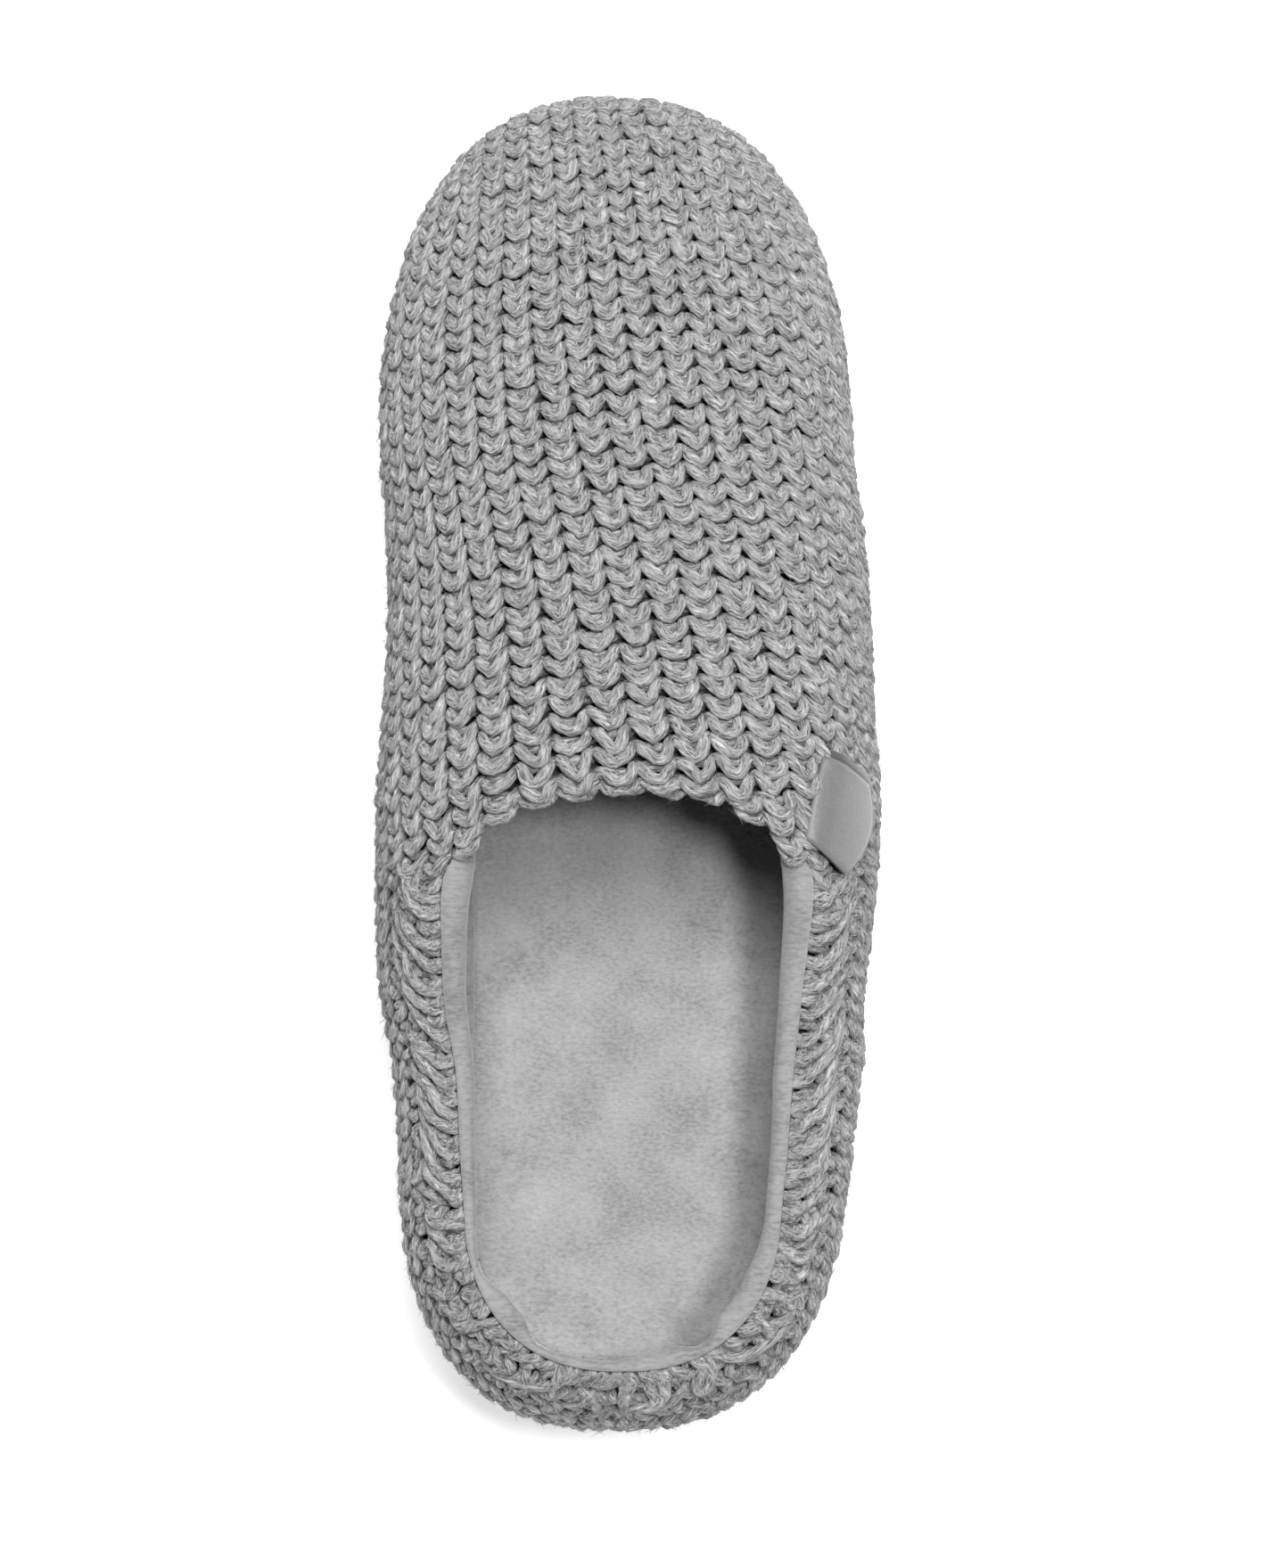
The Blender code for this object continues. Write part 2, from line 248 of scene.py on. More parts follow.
def newMaterial(name, roughness, sheen=0.0):
    made = bpy.data.materials.new(name)
    made.use_nodes = True
    shader = made.node_tree.nodes["Principled BSDF"]
    shader.inputs["Roughness"].default_value = roughness
    shader.inputs["Sheen Weight"].default_value = sheen
    return made, made.node_tree, shader


def addNode(tree, kind, **settings):
    node = tree.nodes.new(kind)
    for key, value in settings.items():
        if hasattr(node, key):
            setattr(node, key, value)
        else:
            node.inputs[key].default_value = value
    return node


def mathNode(tree, operation, first, second=None):
    node = addNode(tree, "ShaderNodeMath", operation=operation)
    for socket, value in zip(node.inputs, (first, second)):
        if value is None:
            continue
        if isinstance(value, (int, float)):
            socket.default_value = value
        else:
            tree.links.new(value, socket)
    return node.outputs[0]


def rampNode(tree, source, stops):
    node = addNode(tree, "ShaderNodeValToRGB")
    ramp = node.color_ramp
    while len(ramp.elements) < len(stops):
        ramp.elements.new(0.5)
    for element, (place, grey) in zip(ramp.elements, stops):
        element.position = place
        element.color = (grey, grey, grey * 1.005, 1.0)
    tree.links.new(source, node.inputs[0])
    return node.outputs[0]


def noiseNode(tree, vector, scale, detail=3.0, roughness=0.55):
    node = addNode(tree, "ShaderNodeTexNoise")
    node.inputs["Scale"].default_value = scale
    node.inputs["Detail"].default_value = detail
    node.inputs["Roughness"].default_value = roughness
    tree.links.new(vector, node.inputs["Vector"])
    return node.outputs["Fac"]


def bumpNode(tree, height, strength, distance):
    node = addNode(tree, "ShaderNodeBump")
    node.inputs["Strength"].default_value = strength
    node.inputs["Distance"].default_value = distance
    tree.links.new(height, node.inputs["Height"])
    return node.outputs["Normal"]


yarnLook = {
    "dark": 0.13,
    "middle": 0.56,
    "light": 1.0,
    "stops": (0.40, 0.505, 0.59, 0.70),  # fibre values that come out dark, dull, bright and light
    "fibres": ((0.36, 1.9, 0.15), (-0.14, 2.5, 0.17)),  # turn round the yarn per mm, fineness, shortness
    "stray": 0.30,        # how far the fibres wander, in mm
    "strayScale": 0.9,
    "patches": 0.15,
    "patchScale": 0.45,
    "wool": 0.12,         # fine unevenness between the fibres
    "woolScale": 2.6,
    "shadeFrom": (0.9, 3.6),  # painted shade: mm under the face where the yarn starts to darken, and where it is darkest
    "shade": 0.11,
    "bump": (1.0, 0.0016),
    "roughness": 0.92,
    "sheen": 0.08,
    "gloss": 0.2,
}


def yarnMaterial(name):
    made, tree, shader = newMaterial(name, yarnLook["roughness"], yarnLook["sheen"])
    shader.inputs["Specular IOR Level"].default_value = yarnLook["gloss"]
    uv = addNode(tree, "ShaderNodeUVMap", uv_map="yarn").outputs[0]
    split = addNode(tree, "ShaderNodeSeparateXYZ")
    tree.links.new(uv, split.inputs[0])
    along = split.outputs[0]
    wander = mathNode(tree, "SUBTRACT", noiseNode(tree, uv, yarnLook["strayScale"], 2.0, 0.5), 0.5)
    wander = mathNode(tree, "MULTIPLY", wander, 2 * yarnLook["stray"])
    around = mathNode(tree, "ADD", split.outputs[1], wander)
    layers = []
    for turn, fine, short in yarnLook["fibres"]:
        join = addNode(tree, "ShaderNodeCombineXYZ")
        turned = mathNode(tree, "ADD", around, mathNode(tree, "MULTIPLY", along, turn))
        tree.links.new(mathNode(tree, "MULTIPLY", along, short), join.inputs[0])
        tree.links.new(turned, join.inputs[1])
        join.inputs[2].default_value = 9.0 * turn
        layers.append(noiseNode(tree, join.outputs[0], fine, 4.0, 0.6))
    fibres = mathNode(tree, "MAXIMUM", *layers)
    patches = mathNode(tree, "SUBTRACT", noiseNode(tree, uv, yarnLook["patchScale"], 2.0, 0.5), 0.5)
    wool = mathNode(tree, "SUBTRACT", noiseNode(tree, uv, yarnLook["woolScale"], 3.0, 0.7), 0.5)
    uneven = mathNode(tree, "MULTIPLY", patches, yarnLook["patches"])
    uneven = mathNode(tree, "ADD", uneven, mathNode(tree, "MULTIPLY", wool, yarnLook["wool"]))
    middle = yarnLook["middle"]
    tones = (yarnLook["dark"], middle * 0.85, middle * 1.2, yarnLook["light"])
    # painted shade: yarn that lies deeper under the knit's face is made darker, for the shade in the knit's
    # hollows
    deep = addNode(tree, "ShaderNodeAttribute", attribute_name="deep")
    shade = addNode(tree, "ShaderNodeMapRange")
    for socket, value in zip(shade.inputs[1:5], (*yarnLook["shadeFrom"], 0.0, yarnLook["shade"])):
        socket.default_value = value
    tree.links.new(deep.outputs["Fac"], shade.inputs[0])
    both = mathNode(tree, "SUBTRACT", mathNode(tree, "ADD", fibres, uneven), shade.outputs[0])
    ramp = rampNode(tree, both, tuple(zip(yarnLook["stops"], tones)))
    tree.links.new(ramp, shader.inputs["Base Color"])
    tree.links.new(bumpNode(tree, both, *yarnLook["bump"]), shader.inputs["Normal"])
    return made


plushLook = {
    "bed": 0.42,
    "lining": 0.37,
    "spread": 0.07,
    "pile": 1500.0,
    "pileShare": 0.55,
    "nap": 90.0,
    # painted shade inside the toe: how much the pile darkens there, and the darkest tone it can reach
    "toeShadeDrop": 0.45,
    "toeShadeTone": 0.04,
    "bump": (0.5, 0.0005),
    "roughness": 0.95,
    "sheen": 0.5,
}


def plushMaterial(name, base, stretch, toeShadeSpan):
    # the last argument gives y in metres where painted shade starts to dim the pile inside the toe, and
    # where it is dimmest
    made, tree, shader = newMaterial(name, plushLook["roughness"], plushLook["sheen"])
    place = addNode(tree, "ShaderNodeTexCoord").outputs["Object"]
    split = addNode(tree, "ShaderNodeSeparateXYZ")
    tree.links.new(place, split.inputs[0])
    # painted shade: the pile darkens towards the toe by its y
    inside = addNode(tree, "ShaderNodeMapRange")
    for socket, value in zip(inside.inputs[1:5], (*toeShadeSpan, 0.0, plushLook["toeShadeDrop"])):
        socket.default_value = value
    tree.links.new(split.outputs[1], inside.inputs[0])
    mapping = addNode(tree, "ShaderNodeMapping")
    mapping.inputs["Scale"].default_value = stretch
    tree.links.new(place, mapping.inputs["Vector"])
    pile = noiseNode(tree, mapping.outputs[0], plushLook["pile"], 2.0, 0.6)
    nap = noiseNode(tree, place, plushLook["nap"], 3.0, 0.5)
    short = mathNode(tree, "MULTIPLY", pile, plushLook["pileShare"])
    both = mathNode(tree, "ADD", short, mathNode(tree, "MULTIPLY", nap, 1 - plushLook["pileShare"]))
    spread = plushLook["spread"]
    stops = ((0.30, base - 2.2 * spread), (0.5, base), (0.72, base + 1.6 * spread))
    dim = mathNode(tree, "SUBTRACT", both, inside.outputs[0])
    ramp = rampNode(tree, dim, ((0.0, plushLook["toeShadeTone"]),) + stops)
    tree.links.new(ramp, shader.inputs["Base Color"])
    tree.links.new(bumpNode(tree, pile, *plushLook["bump"]), shader.inputs["Normal"])
    return made


def plainMaterial(name, stops, scale, roughness, bump, sheen=0.0):
    made, tree, shader = newMaterial(name, roughness, sheen)
    place = addNode(tree, "ShaderNodeTexCoord").outputs["Object"]
    grain = noiseNode(tree, place, scale, 4.0, 0.6)
    tree.links.new(rampNode(tree, grain, stops), shader.inputs["Base Color"])
    tree.links.new(bumpNode(tree, grain, *bump), shader.inputs["Normal"])
    return made


def makeMesh(name, points, faces, materials, slots=None, smooth=True):
    mesh = bpy.data.meshes.new(name)
    points = np.asarray(points, float) * mm
    faces = np.asarray(faces)
    mesh.vertices.add(len(points))
    mesh.vertices.foreach_set("co", points.ravel())
    mesh.loops.add(faces.size)
    mesh.loops.foreach_set("vertex_index", faces.ravel().astype(np.int32))
    mesh.polygons.add(len(faces))
    mesh.polygons.foreach_set("loop_start", np.arange(0, faces.size, faces.shape[1], dtype=np.int32))
    mesh.polygons.foreach_set("loop_total", np.full(len(faces), faces.shape[1], dtype=np.int32))
    mesh.polygons.foreach_set("use_smooth", np.full(len(faces), smooth))
    for material in materials:
        mesh.materials.append(material)
    if slots is not None:
        mesh.polygons.foreach_set("material_index", np.asarray(slots, dtype=np.int32))
    mesh.update(calc_edges=True)
    mesh.validate()
    piece = bpy.data.objects.new(name, mesh)
    bpy.context.scene.collection.objects.link(piece)
    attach(piece, "root")
    return piece


def gridFaces(rows, columns, closedRows=False, closedColumns=False):
    # quads of a grid of points laid out row by row
    i = np.arange(rows if closedRows else rows - 1)
    j = np.arange(columns if closedColumns else columns - 1)
    i, j = np.meshgrid(i, j, indexing="ij")
    i, j = i.ravel(), j.ravel()
    nextI, nextJ = (i + 1) % rows, (j + 1) % columns
    return np.stack([i * columns + j, i * columns + nextJ, nextI * columns + nextJ, nextI * columns + j], 1)


def sealMesh(piece):
    # joins points that meet and turns every face outwards
    form = bmesh.new()
    form.from_mesh(piece.data)
    bmesh.ops.remove_doubles(form, verts=form.verts, dist=1e-6)
    bmesh.ops.dissolve_degenerate(form, edges=form.edges, dist=1e-7)
    bmesh.ops.recalc_face_normals(form, faces=form.faces)
    form.to_mesh(piece.data)
    form.free()
    piece.data.update()


# The knit's chart: a wale number across and a place along, laid over the outer face

knit = {
    "walePitch": 7.58,        # at the middle of the vamp
    "coursePitch": 4.15,
    "pitchY": 40.0,
    "lean": 0.0202,           # wales drift inwards this much of a wale per mm towards the toe
    "leanStart": -15.0,
    "rowRise": (1.3, -0.15),  # each wale's courses sit further to the toe than the last wale's
    "toePivotY": 110.0,
    "toeTurn": math.radians(83.0),
    "toeLength": 55.0,
    "heelPivotY": -84.0,
    "heelLength": 78.0,
    "cornerY": -31.0,         # behind this the edge follows one wale
    "step": 1.25,
    "waleStep": 0.1,
    "tuckUnder": 0.9,         # wales that run on below the upper, against the sole
    "wrap": 2.7,              # radians that the knit turns over the throat's edge
    "wrapRadius": 4.2,
    "wrapStart": -25.0,       # the knit turns over the edge in front of this, fully after the fade
    "wrapFade": 12.0,
}


def beyondLast(points):
    # negative inside the outer face, positive outside
    x, y, z = points[..., 0], points[..., 1], points[..., 2]
    low = widestHeight(y)
    across = np.abs((x - shiftAt(y)) / halfAt(y)) ** last["planPower"]
    height = np.maximum(0.0, (z - low) / (crownAt(y) - low)) ** last["sectionPower"]
    over = across + lastClosed(y) + height - 1
    bottom = last["soleHeight"] + springAt(y)
    drop = np.clip((low - z) / (low - bottom) * math.sin(last["underTurn"]), 0.0, 0.97)
    share = (1 - np.cos(np.arcsin(drop))) / (1 - math.cos(last["underTurn"]))
    half = halfAt(y) + (soleHalfAt(y) - halfAt(y)) * share
    shift = shiftAt(y) + (soleShiftAt(y) - shiftAt(y)) * share
    under = np.abs((x - shift) / half) ** last["planPower"] + lastClosed(y, last["soleInset"] * share) - 1
    return np.where(z >= low, over, under)


def beyondRim(points):
    x, y = points[..., 0], points[..., 1]
    return np.abs((x - rimShiftAt(y)) / rimHalfAt(y)) ** last["planPower"] + rimClosed(y) - 1


def reachOut(beyond, origins, directions, far):
    # distance from each origin at which a ray leaves a form
    near = np.zeros(directions.shape[:-1])
    far = np.full(directions.shape[:-1], far)
    for _ in range(26):
        middle = (near + far) / 2
        outside = beyond(origins + directions * middle[..., None]) > 0
        far = np.where(outside, middle, far)
        near = np.where(outside, near, middle)
    return (near + far) / 2


def cutSections(places, side):
    # the outer face cut at each place: points, length from the sole, and that length where the knit ends
    toeY, heelY = knit["toePivotY"], knit["heelPivotY"]
    y = np.clip(places, heelY, toeY)
    zero = np.zeros_like(y)
    origin = np.stack([shiftAt(y), y, last["soleHeight"] + springAt(y)], -1)
    tilt = np.clip((places - toeY) / knit["toeLength"], 0.0, 1.0) * knit["toeTurn"]
    swing = np.clip((heelY - places) / knit["heelLength"], 0.0, 1.0) * pi / 2
    out = np.stack([side * np.cos(swing), -np.sin(swing), zero], -1)
    up = np.stack([zero, np.sin(tilt), np.cos(tilt)], -1)
    rays = np.linspace(0.0, pi / 2, 60)
    direction = out[:, None] * np.cos(rays)[None, :, None] + up[:, None] * np.sin(rays)[None, :, None]
    reach = reachOut(beyondLast, origin[:, None], direction, 170.0)
    points = origin[:, None] + direction * reach[..., None]
    steps = np.linalg.norm(np.diff(points, axis=1), axis=2)
    arc = np.concatenate([np.zeros((len(places), 1)), np.cumsum(steps, axis=1)], 1)
    plan = reach * np.cos(rays)
    seamReach = reachOut(beyondRim, origin, out, 80.0)
    seamArc = arc[:, -1].copy()
    for i in np.nonzero(places < last["throatY"])[0]:
        top = int(np.argmax(plan[i]))
        seamArc[i] = np.interp(-seamReach[i], -plan[i, top:], arc[i, top:])
    return points, arc, seamArc, out


def alongArc(points, arc, length):
    return np.array([np.interp(length, arc, points[:, c]) for c in range(3)])


def edgeFrames(side, wales):
    # the opening's edge: its place in the chart, point, outward normal, way into the opening and radius
    far = np.arange(knit["heelPivotY"] - knit["heelLength"], knit["cornerY"], 0.8)
    near = last["throatY"] - (last["throatY"] - knit["cornerY"]) * np.linspace(1, 0, 320) ** 5 - 1e-6
    rows = np.concatenate([far, near])
    points, arc, seamArc, _ = cutSections(rows, side)
    wale = wales * (1 - seamArc / arc[:, -1])
    corner = math.floor(wale[len(far)] + 0.5) - 0.5
    cornerPlace = float(np.interp(-corner, -wale[len(far):], rows[len(far):]))
    wale = np.where(rows < cornerPlace, corner, wale)
    spots = np.array([alongArc(points[i], arc[i], seamArc[i]) for i in range(len(rows))])
    x, y = spots[:, 0], spots[:, 1]
    normal = crownNormal(x, y, 0.3)
    into = unit(np.cross(normal, unit(np.gradient(spots, axis=0)))) * side
    chart = np.stack([wale * knit["walePitch"], rows], -1)
    print("edge on side", side, "follows wale", corner, "behind", round(cornerPlace, 1))
    return dict(chart=chart, rows=rows, wale=wale, corner=corner, cornerPlace=cornerPlace,
                spots=spots, normal=normal, into=into, radius=edgeAt(y) / 2)


def overEdge(edge, across, place):
    # a point past the opening's edge, rolled over its lip
    away = np.hypot(edge["chart"][:, 0] - across, edge["chart"][:, 1] - place)
    i = int(np.argmin(away))
    radius = edge["radius"][i]
    turn = min(away[i] / radius, 2.9)
    down = edge["normal"][i] * radius * (1 - math.cos(turn))
    return edge["spots"][i] - down + edge["into"][i] * radius * math.sin(turn)


def buildChart():
    first = knit["heelPivotY"] - knit["heelLength"]
    end = knit["toePivotY"] + knit["toeLength"] + 0.1
    places = np.arange(first, end, knit["step"])
    middle = int(np.argmin(np.abs(places - knit["pitchY"])))
    cuts = {side: cutSections(places, side) for side in (1.0, -1.0)}
    wales = max(cut[1][middle, -1] for cut in cuts.values()) / knit["walePitch"]
    reach = wales + knit["tuckUnder"]
    across = np.linspace(-reach, reach, int(round(2 * reach / knit["waleStep"])) + 1)
    grid = np.zeros((len(places), len(across), 3))
    edges = {}
    for side, (points, arc, seamArc, out) in cuts.items():
        edge = edges[side] = edgeFrames(side, wales)
        seam = np.interp(places, edge["rows"], edge["wale"])
        seam = np.where(places >= last["throatY"], 0.0, seam)
        held = places < edge["cornerPlace"]
        perWale = np.where(held, seamArc / (wales - edge["corner"]), arc[:, -1] / wales)
        for j, wale in enumerate(across):
            if wale * side < -1e-9:
                continue
            for i in range(len(places)):
                away = (wales - abs(wale)) * perWale[i]
                if away < 0:
                    grid[i, j] = points[i, 0] + out[i] * away
                elif abs(wale) >= seam[i] - 1e-9:
                    grid[i, j] = alongArc(points[i], arc[i], away)
                else:
                    grid[i, j] = overEdge(edge, abs(wale) * knit["walePitch"], places[i])
    return places, across, grid, edges, wales


places, across, chart, edges, waleCount = buildChart()
chartNormal = unit(np.cross(np.gradient(chart, axis=1), np.gradient(chart, axis=0)))
print("knit chart", chart.shape, "wales each side", round(float(waleCount), 2))


def onChart(table, wale, place):
    # value of a chart table at fractional wales and places
    u = np.clip((wale - across[0]) / (across[1] - across[0]), 0, len(across) - 1.001)
    v = np.clip((place - places[0]) / knit["step"], 0, len(places) - 1.001)
    i, j = v.astype(int), u.astype(int)
    fv, fu = (v - i)[..., None], (u - j)[..., None]
    near = table[i, j] * (1 - fu) + table[i, j + 1] * fu
    return near * (1 - fv) + (table[i + 1, j] * (1 - fu) + table[i + 1, j + 1] * fu) * fv


def pastEdge(wale, place):
    # how far past the opening's edge a chart spot lies, in mm, and 0 on the knit's own side
    away = np.zeros(len(place))
    for side, edge in edges.items():
        seam = np.interp(place, edge["rows"], edge["wale"])
        inside = (wale * side >= 0) & (place < last["throatY"]) & (np.abs(wale) < seam)
        for i in np.nonzero(inside)[0]:
            offX = edge["chart"][:, 0] - abs(wale[i]) * knit["walePitch"]
            away[i] = np.hypot(offX, edge["chart"][:, 1] - place[i]).min()
    return away


def beforeEdge(wale, place):
    # mm from a chart spot to the opening's edge
    edge = edges[1.0 if wale >= 0 else -1.0]
    offX = edge["chart"][:, 0] - abs(wale) * knit["walePitch"]
    return float(np.hypot(offX, edge["chart"][:, 1] - place).min())


def seamGap(wale, place):
    # wales between a spot and the opening's edge on its own side
    edge = edges[1.0 if wale >= 0 else -1.0]
    return abs(wale) - float(np.interp(place, edge["rows"], edge["wale"]))


# Stitches: one length of yarn per loop, from the top between two wales, down round the bottom and up again

stitch = {
    "radius": 1.22,
    "sides": 9,
    "rings": 17,
    "ringStep": 1.2,      # about how many mm apart the rings are
    "flatten": 0.92,      # the yarn's thickness and width, as shares of round
    "widen": 1.05,
    "thick": (1.02, 0.07, 0.15),  # at the bottom, more on the arms, less at the tucked ends
    "plies": 0.07,
    "plyTurn": 1.15,      # radians per mm
    "lumps": 0.2,         # uneven thickness, as a share of the radius
    "sharp": (0.45, 0.6, 0.35),  # share of the sharp form: everywhere, by region, by chance
    "shiftAlong": 0.42,   # how far a loop strays, in mm
    "tilt": 1.4,          # how far one arm strays ahead of the other, in mm
    "shiftDeep": 0.24,
    "sway": 0.12,         # how far its width strays, as a share
    "slide": 0.03,        # how far it strays across, in wales
    "wobble": 0.16,
    "belowSole": 0.3,     # a loop whose middle line drops lower than this under the sole's top is left out
    "edgeFlat": (0.8, 4.0),  # share of the flat form past the opening's edge, and mm over which it comes
    "edgeLoopY": -27.0,   # behind this the loops beside the collar's seam dive under its edge
    "edgeDeepY": -23.0,   # behind this a loop's depth is held to the next two values
    "edgeDeep": 1.9,      # the deepest a loop's middle line lies beside the collar's seam
    "edgeSlope": 1.3,     # how much deeper it may lie for each wale away from there
}

# Uneven loops near the opening's edge: wales across, then mm along by chance and in a wave, and mm deep
fray = {"reach": 11.0, "fade": 5.0, "across": 0.07, "along": (0.6, 0.5), "deep": 0.4}

# More tangled loops along the collar, behind startY and within so many wales of its edge
tangle = {
    "startY": -14.0,
    "fade": 14.0,
    "wales": 4.2,
    "waleFade": 1.5,
    "flat": 0.75,
    "thinner": 0.1,
    "across": 0.05,
    "along": (0.55, 0.45),
    "deep": (0.75, 0.35),
}

# The loop forms that are mixed: share of a wale, mm along, mm under the face
roundLoop = (
    (0.50, 3.10, 3.75),
    (0.455, 3.25, 3.40),
    (0.405, 3.20, 2.70),
    (0.360, 2.85, 1.95),
    (0.325, 2.10, 1.45),
    (0.265, 0.90, 1.18),
    (0.150, 0.05, 1.08),
    (0.0, -0.15, 1.08),
)
sharpLoop = (
    (0.50, 3.70, 3.75),
    (0.455, 3.75, 3.35),
    (0.405, 3.55, 2.60),
    (0.360, 3.00, 1.90),
    (0.315, 2.30, 1.45),
    (0.235, 1.25, 1.16),
    (0.105, 0.30, 1.04),
    (0.0, -0.40, 1.12),
)

# The flatter loop along the opening's edge
flatLoop = (
    (0.50, 1.45, 2.55),
    (0.455, 1.40, 2.35),
    (0.405, 1.25, 2.05),
    (0.350, 1.00, 1.75),
    (0.290, 0.70, 1.50),
    (0.210, 0.30, 1.25),
    (0.105, 0.05, 1.10),
    (0.0, 0.0, 1.08),
)

# The strand that is tucked behind each loop
tuckLoop = (
    (0.52, 2.7, 4.6),
    (0.40, 2.6, 3.8),
    (0.20, 2.45, 2.70),
    (0.0, 2.4, 2.60),
)
tuck = {
    "radius": 1.15,
    "sides": 7,
    "rings": 8,
    "shift": (0.25, 0.5),  # mm along, on the plain knit and how much more in the tangle
    "tilt": 1.6,
    "raise": (0.3, 0.4),   # mm nearer the face in the tangle, and by chance
    "edgeDeep": 2.2,
    "edgeDive": 9.0,
}


def splinePath(rows, rings):
    # half a loop mirrored to a whole one and spaced evenly; the share of a wale stays a share
    right = np.array(rows)
    rough = np.concatenate([right * np.array([-1.0, 1.0, 1.0]), right[-2::-1]])
    rough[:, 0] *= knit["walePitch"]
    ends = np.concatenate([rough[:1] * 2 - rough[1:2], rough, rough[-1:] * 2 - rough[-2:-1]])
    fine = []
    for i in range(1, len(ends) - 2):
        a, b, c, d = ends[i - 1], ends[i], ends[i + 1], ends[i + 2]
        for t in np.linspace(0, 1, 12, endpoint=False):
            square = (2 * a - 5 * b + 4 * c - d) * t * t
            cube = (3 * b - a - 3 * c + d) * t ** 3
            fine.append(0.5 * (2 * b + (c - a) * t + square + cube))
    fine = np.array(fine + [rough[-1]])
    arc = np.concatenate([[0], np.cumsum(np.linalg.norm(np.diff(fine, axis=0), axis=1))])
    even = np.linspace(0, arc[-1], rings)
    path = np.stack([np.interp(even, arc, fine[:, c]) for c in range(3)], -1)
    path[:, 0] /= knit["walePitch"]
    return path, even


def waleAt(number, place):
    return number - knit["lean"] * np.maximum(0.0, place - knit["leanStart"])


def riseOf(number):
    slope, bend = knit["rowRise"]
    return slope * number + bend * number * number


def measureWales():
    # how length along each wale turns into place
    line = np.arange(places[0] + 0.9, places[-1] - 0.3, 0.8)
    found = {}
    for number in range(int(-waleCount) - 2, int(waleCount) + 7):
        steps = np.linalg.norm(np.diff(onChart(chart, waleAt(number, line), line), axis=0), axis=1)
        length = np.concatenate([[0], np.cumsum(np.maximum(steps, 0.02))])
        found[number] = length - np.interp(knit["pitchY"], line, length)
    return line, found


waleLine, waleLengths = measureWales()


def placeOn(number, share, at):
    # place of a length along a wale, part of the way to its neighbour
    own = np.interp(at, waleLengths[number], waleLine)
    right = np.interp(at, waleLengths.get(number + 1, waleLengths[number]), waleLine)
    left = np.interp(at, waleLengths.get(number - 1, waleLengths[number]), waleLine)
    return own + np.maximum(share, 0.0) * (right - own) + np.maximum(-share, 0.0) * (left - own)


def placeStitches():
    # wale number, course number and length along the wale of every loop that is on the knit
    found = []
    for number in list(waleLengths)[1:-1]:
        length = waleLengths[number]
        wale = waleAt(number, waleLine)
        past = pastEdge(wale, waleLine)
        fits = np.abs(wale) < waleCount + 0.35
        fade = np.clip((waleLine - knit["wrapStart"]) / knit["wrapFade"], 0.0, 1.0)
        fits &= past < 0.1 + knit["wrap"] * knit["wrapRadius"] * fade
        low = math.ceil((length[0] - 3.0 - riseOf(number)) / knit["coursePitch"])
        high = math.floor((length[-1] - riseOf(number)) / knit["coursePitch"])
        for course in range(low, high + 1):
            at = course * knit["coursePitch"] + riseOf(number)
            if np.interp(at, length, fits.astype(float)) > 0.99:
                found.append((number, course, at))
    return found


def smoothNoise(rng, shape):
    # random values that change gently from one row and column to the next
    noise = rng.uniform(-1, 1, shape)
    for axis in (0, 1):
        noise = (np.roll(noise, 1, axis) + 2 * noise + np.roll(noise, -1, axis)) / 4
    return noise * 1.9


def yarnTube(middle, normal, deep, radius, sides, rng):
    # rings of yarn round a middle line, how deep each point lies, and the directions at each ring
    forward = unit(np.gradient(middle, axis=0) + 1e-9)
    sideways = unit(np.cross(forward, normal))
    upward = np.cross(sideways, forward)
    around = np.linspace(0, 2 * pi, sides, endpoint=False) + pi
    wide = radius[:, None] * (1 + stitch["lumps"] * smoothNoise(rng, (len(middle), sides)))
    turned = stitch["plyTurn"] * (2 * stitch["ringStep"]) * np.arange(len(middle))[:, None]
    wide = wide * (1 + stitch["plies"] * np.cos(2 * around[None] - turned))
    high = np.cos(around)[None] * wide * stitch["flatten"]
    ring = upward[:, None] * high[..., None]
    ring = ring + sideways[:, None] * (np.sin(around)[None] * wide)[..., None] * stitch["widen"]
    under = deep[:, None] - high * np.sum(upward * normal, axis=1)[:, None]
    return (middle[:, None] + ring).reshape(-1, 3), under.ravel(), (forward, sideways, upward)


def underFace(wale, place, deep):
    # the point so many mm under the knit's face, and the normal there
    normal = unit(onChart(chartNormal, wale, place))
    return onChart(chart, wale, place) - normal * deep[:, None], normal


def loopPath(number, at, shape):
    # middle line of a loop over the face
    climb = riseOf(number + 0.5) - riseOf(number - 0.5)
    ends = np.clip((np.abs(shape[:, 0]) - 0.22) / 0.28, 0.0, 1.0)
    climb = climb * 0.5 * np.sign(shape[:, 0]) * ends * ends * (3 - 2 * ends)
    spot = placeOn(number, shape[:, 0], at + shape[:, 1] + climb)
    return underFace(waleAt(number, spot) + shape[:, 0], spot, shape[:, 2])


# The arm that dives under the collar's edge: mm along by chance, slope and bow, then mm deep at its two ends
dive = {"shift": 0.35, "slope": (0.9, -0.5), "bow": 0.5, "deep": 1.3, "uneven": 0.3, "under": 2.9}


def edgeLoop(shape, wale, bend):
    # the last loop beside the collar's seam: its inner arm swoops across and dives under the edge
    inner = shape[:, 0] * (1 if wale >= 0 else -1) < 0
    share = np.abs(shape[:, 0]) / 0.5
    chance, slope = dive["slope"]
    swoop = dive["shift"] * bend[1] + (chance * bend[2] + slope) * share
    swoop = swoop + dive["bow"] * bend[5] * np.sin(pi * share)
    along = np.where(inner, shape[:, 1] * 0.1 + swoop * np.minimum(1.0, share * 3), shape[:, 1])
    under = dive["deep"] + dive["uneven"] * bend[3] + dive["under"] * share ** 5
    return np.stack([shape[:, 0], along, np.where(inner, under, shape[:, 2])], -1)


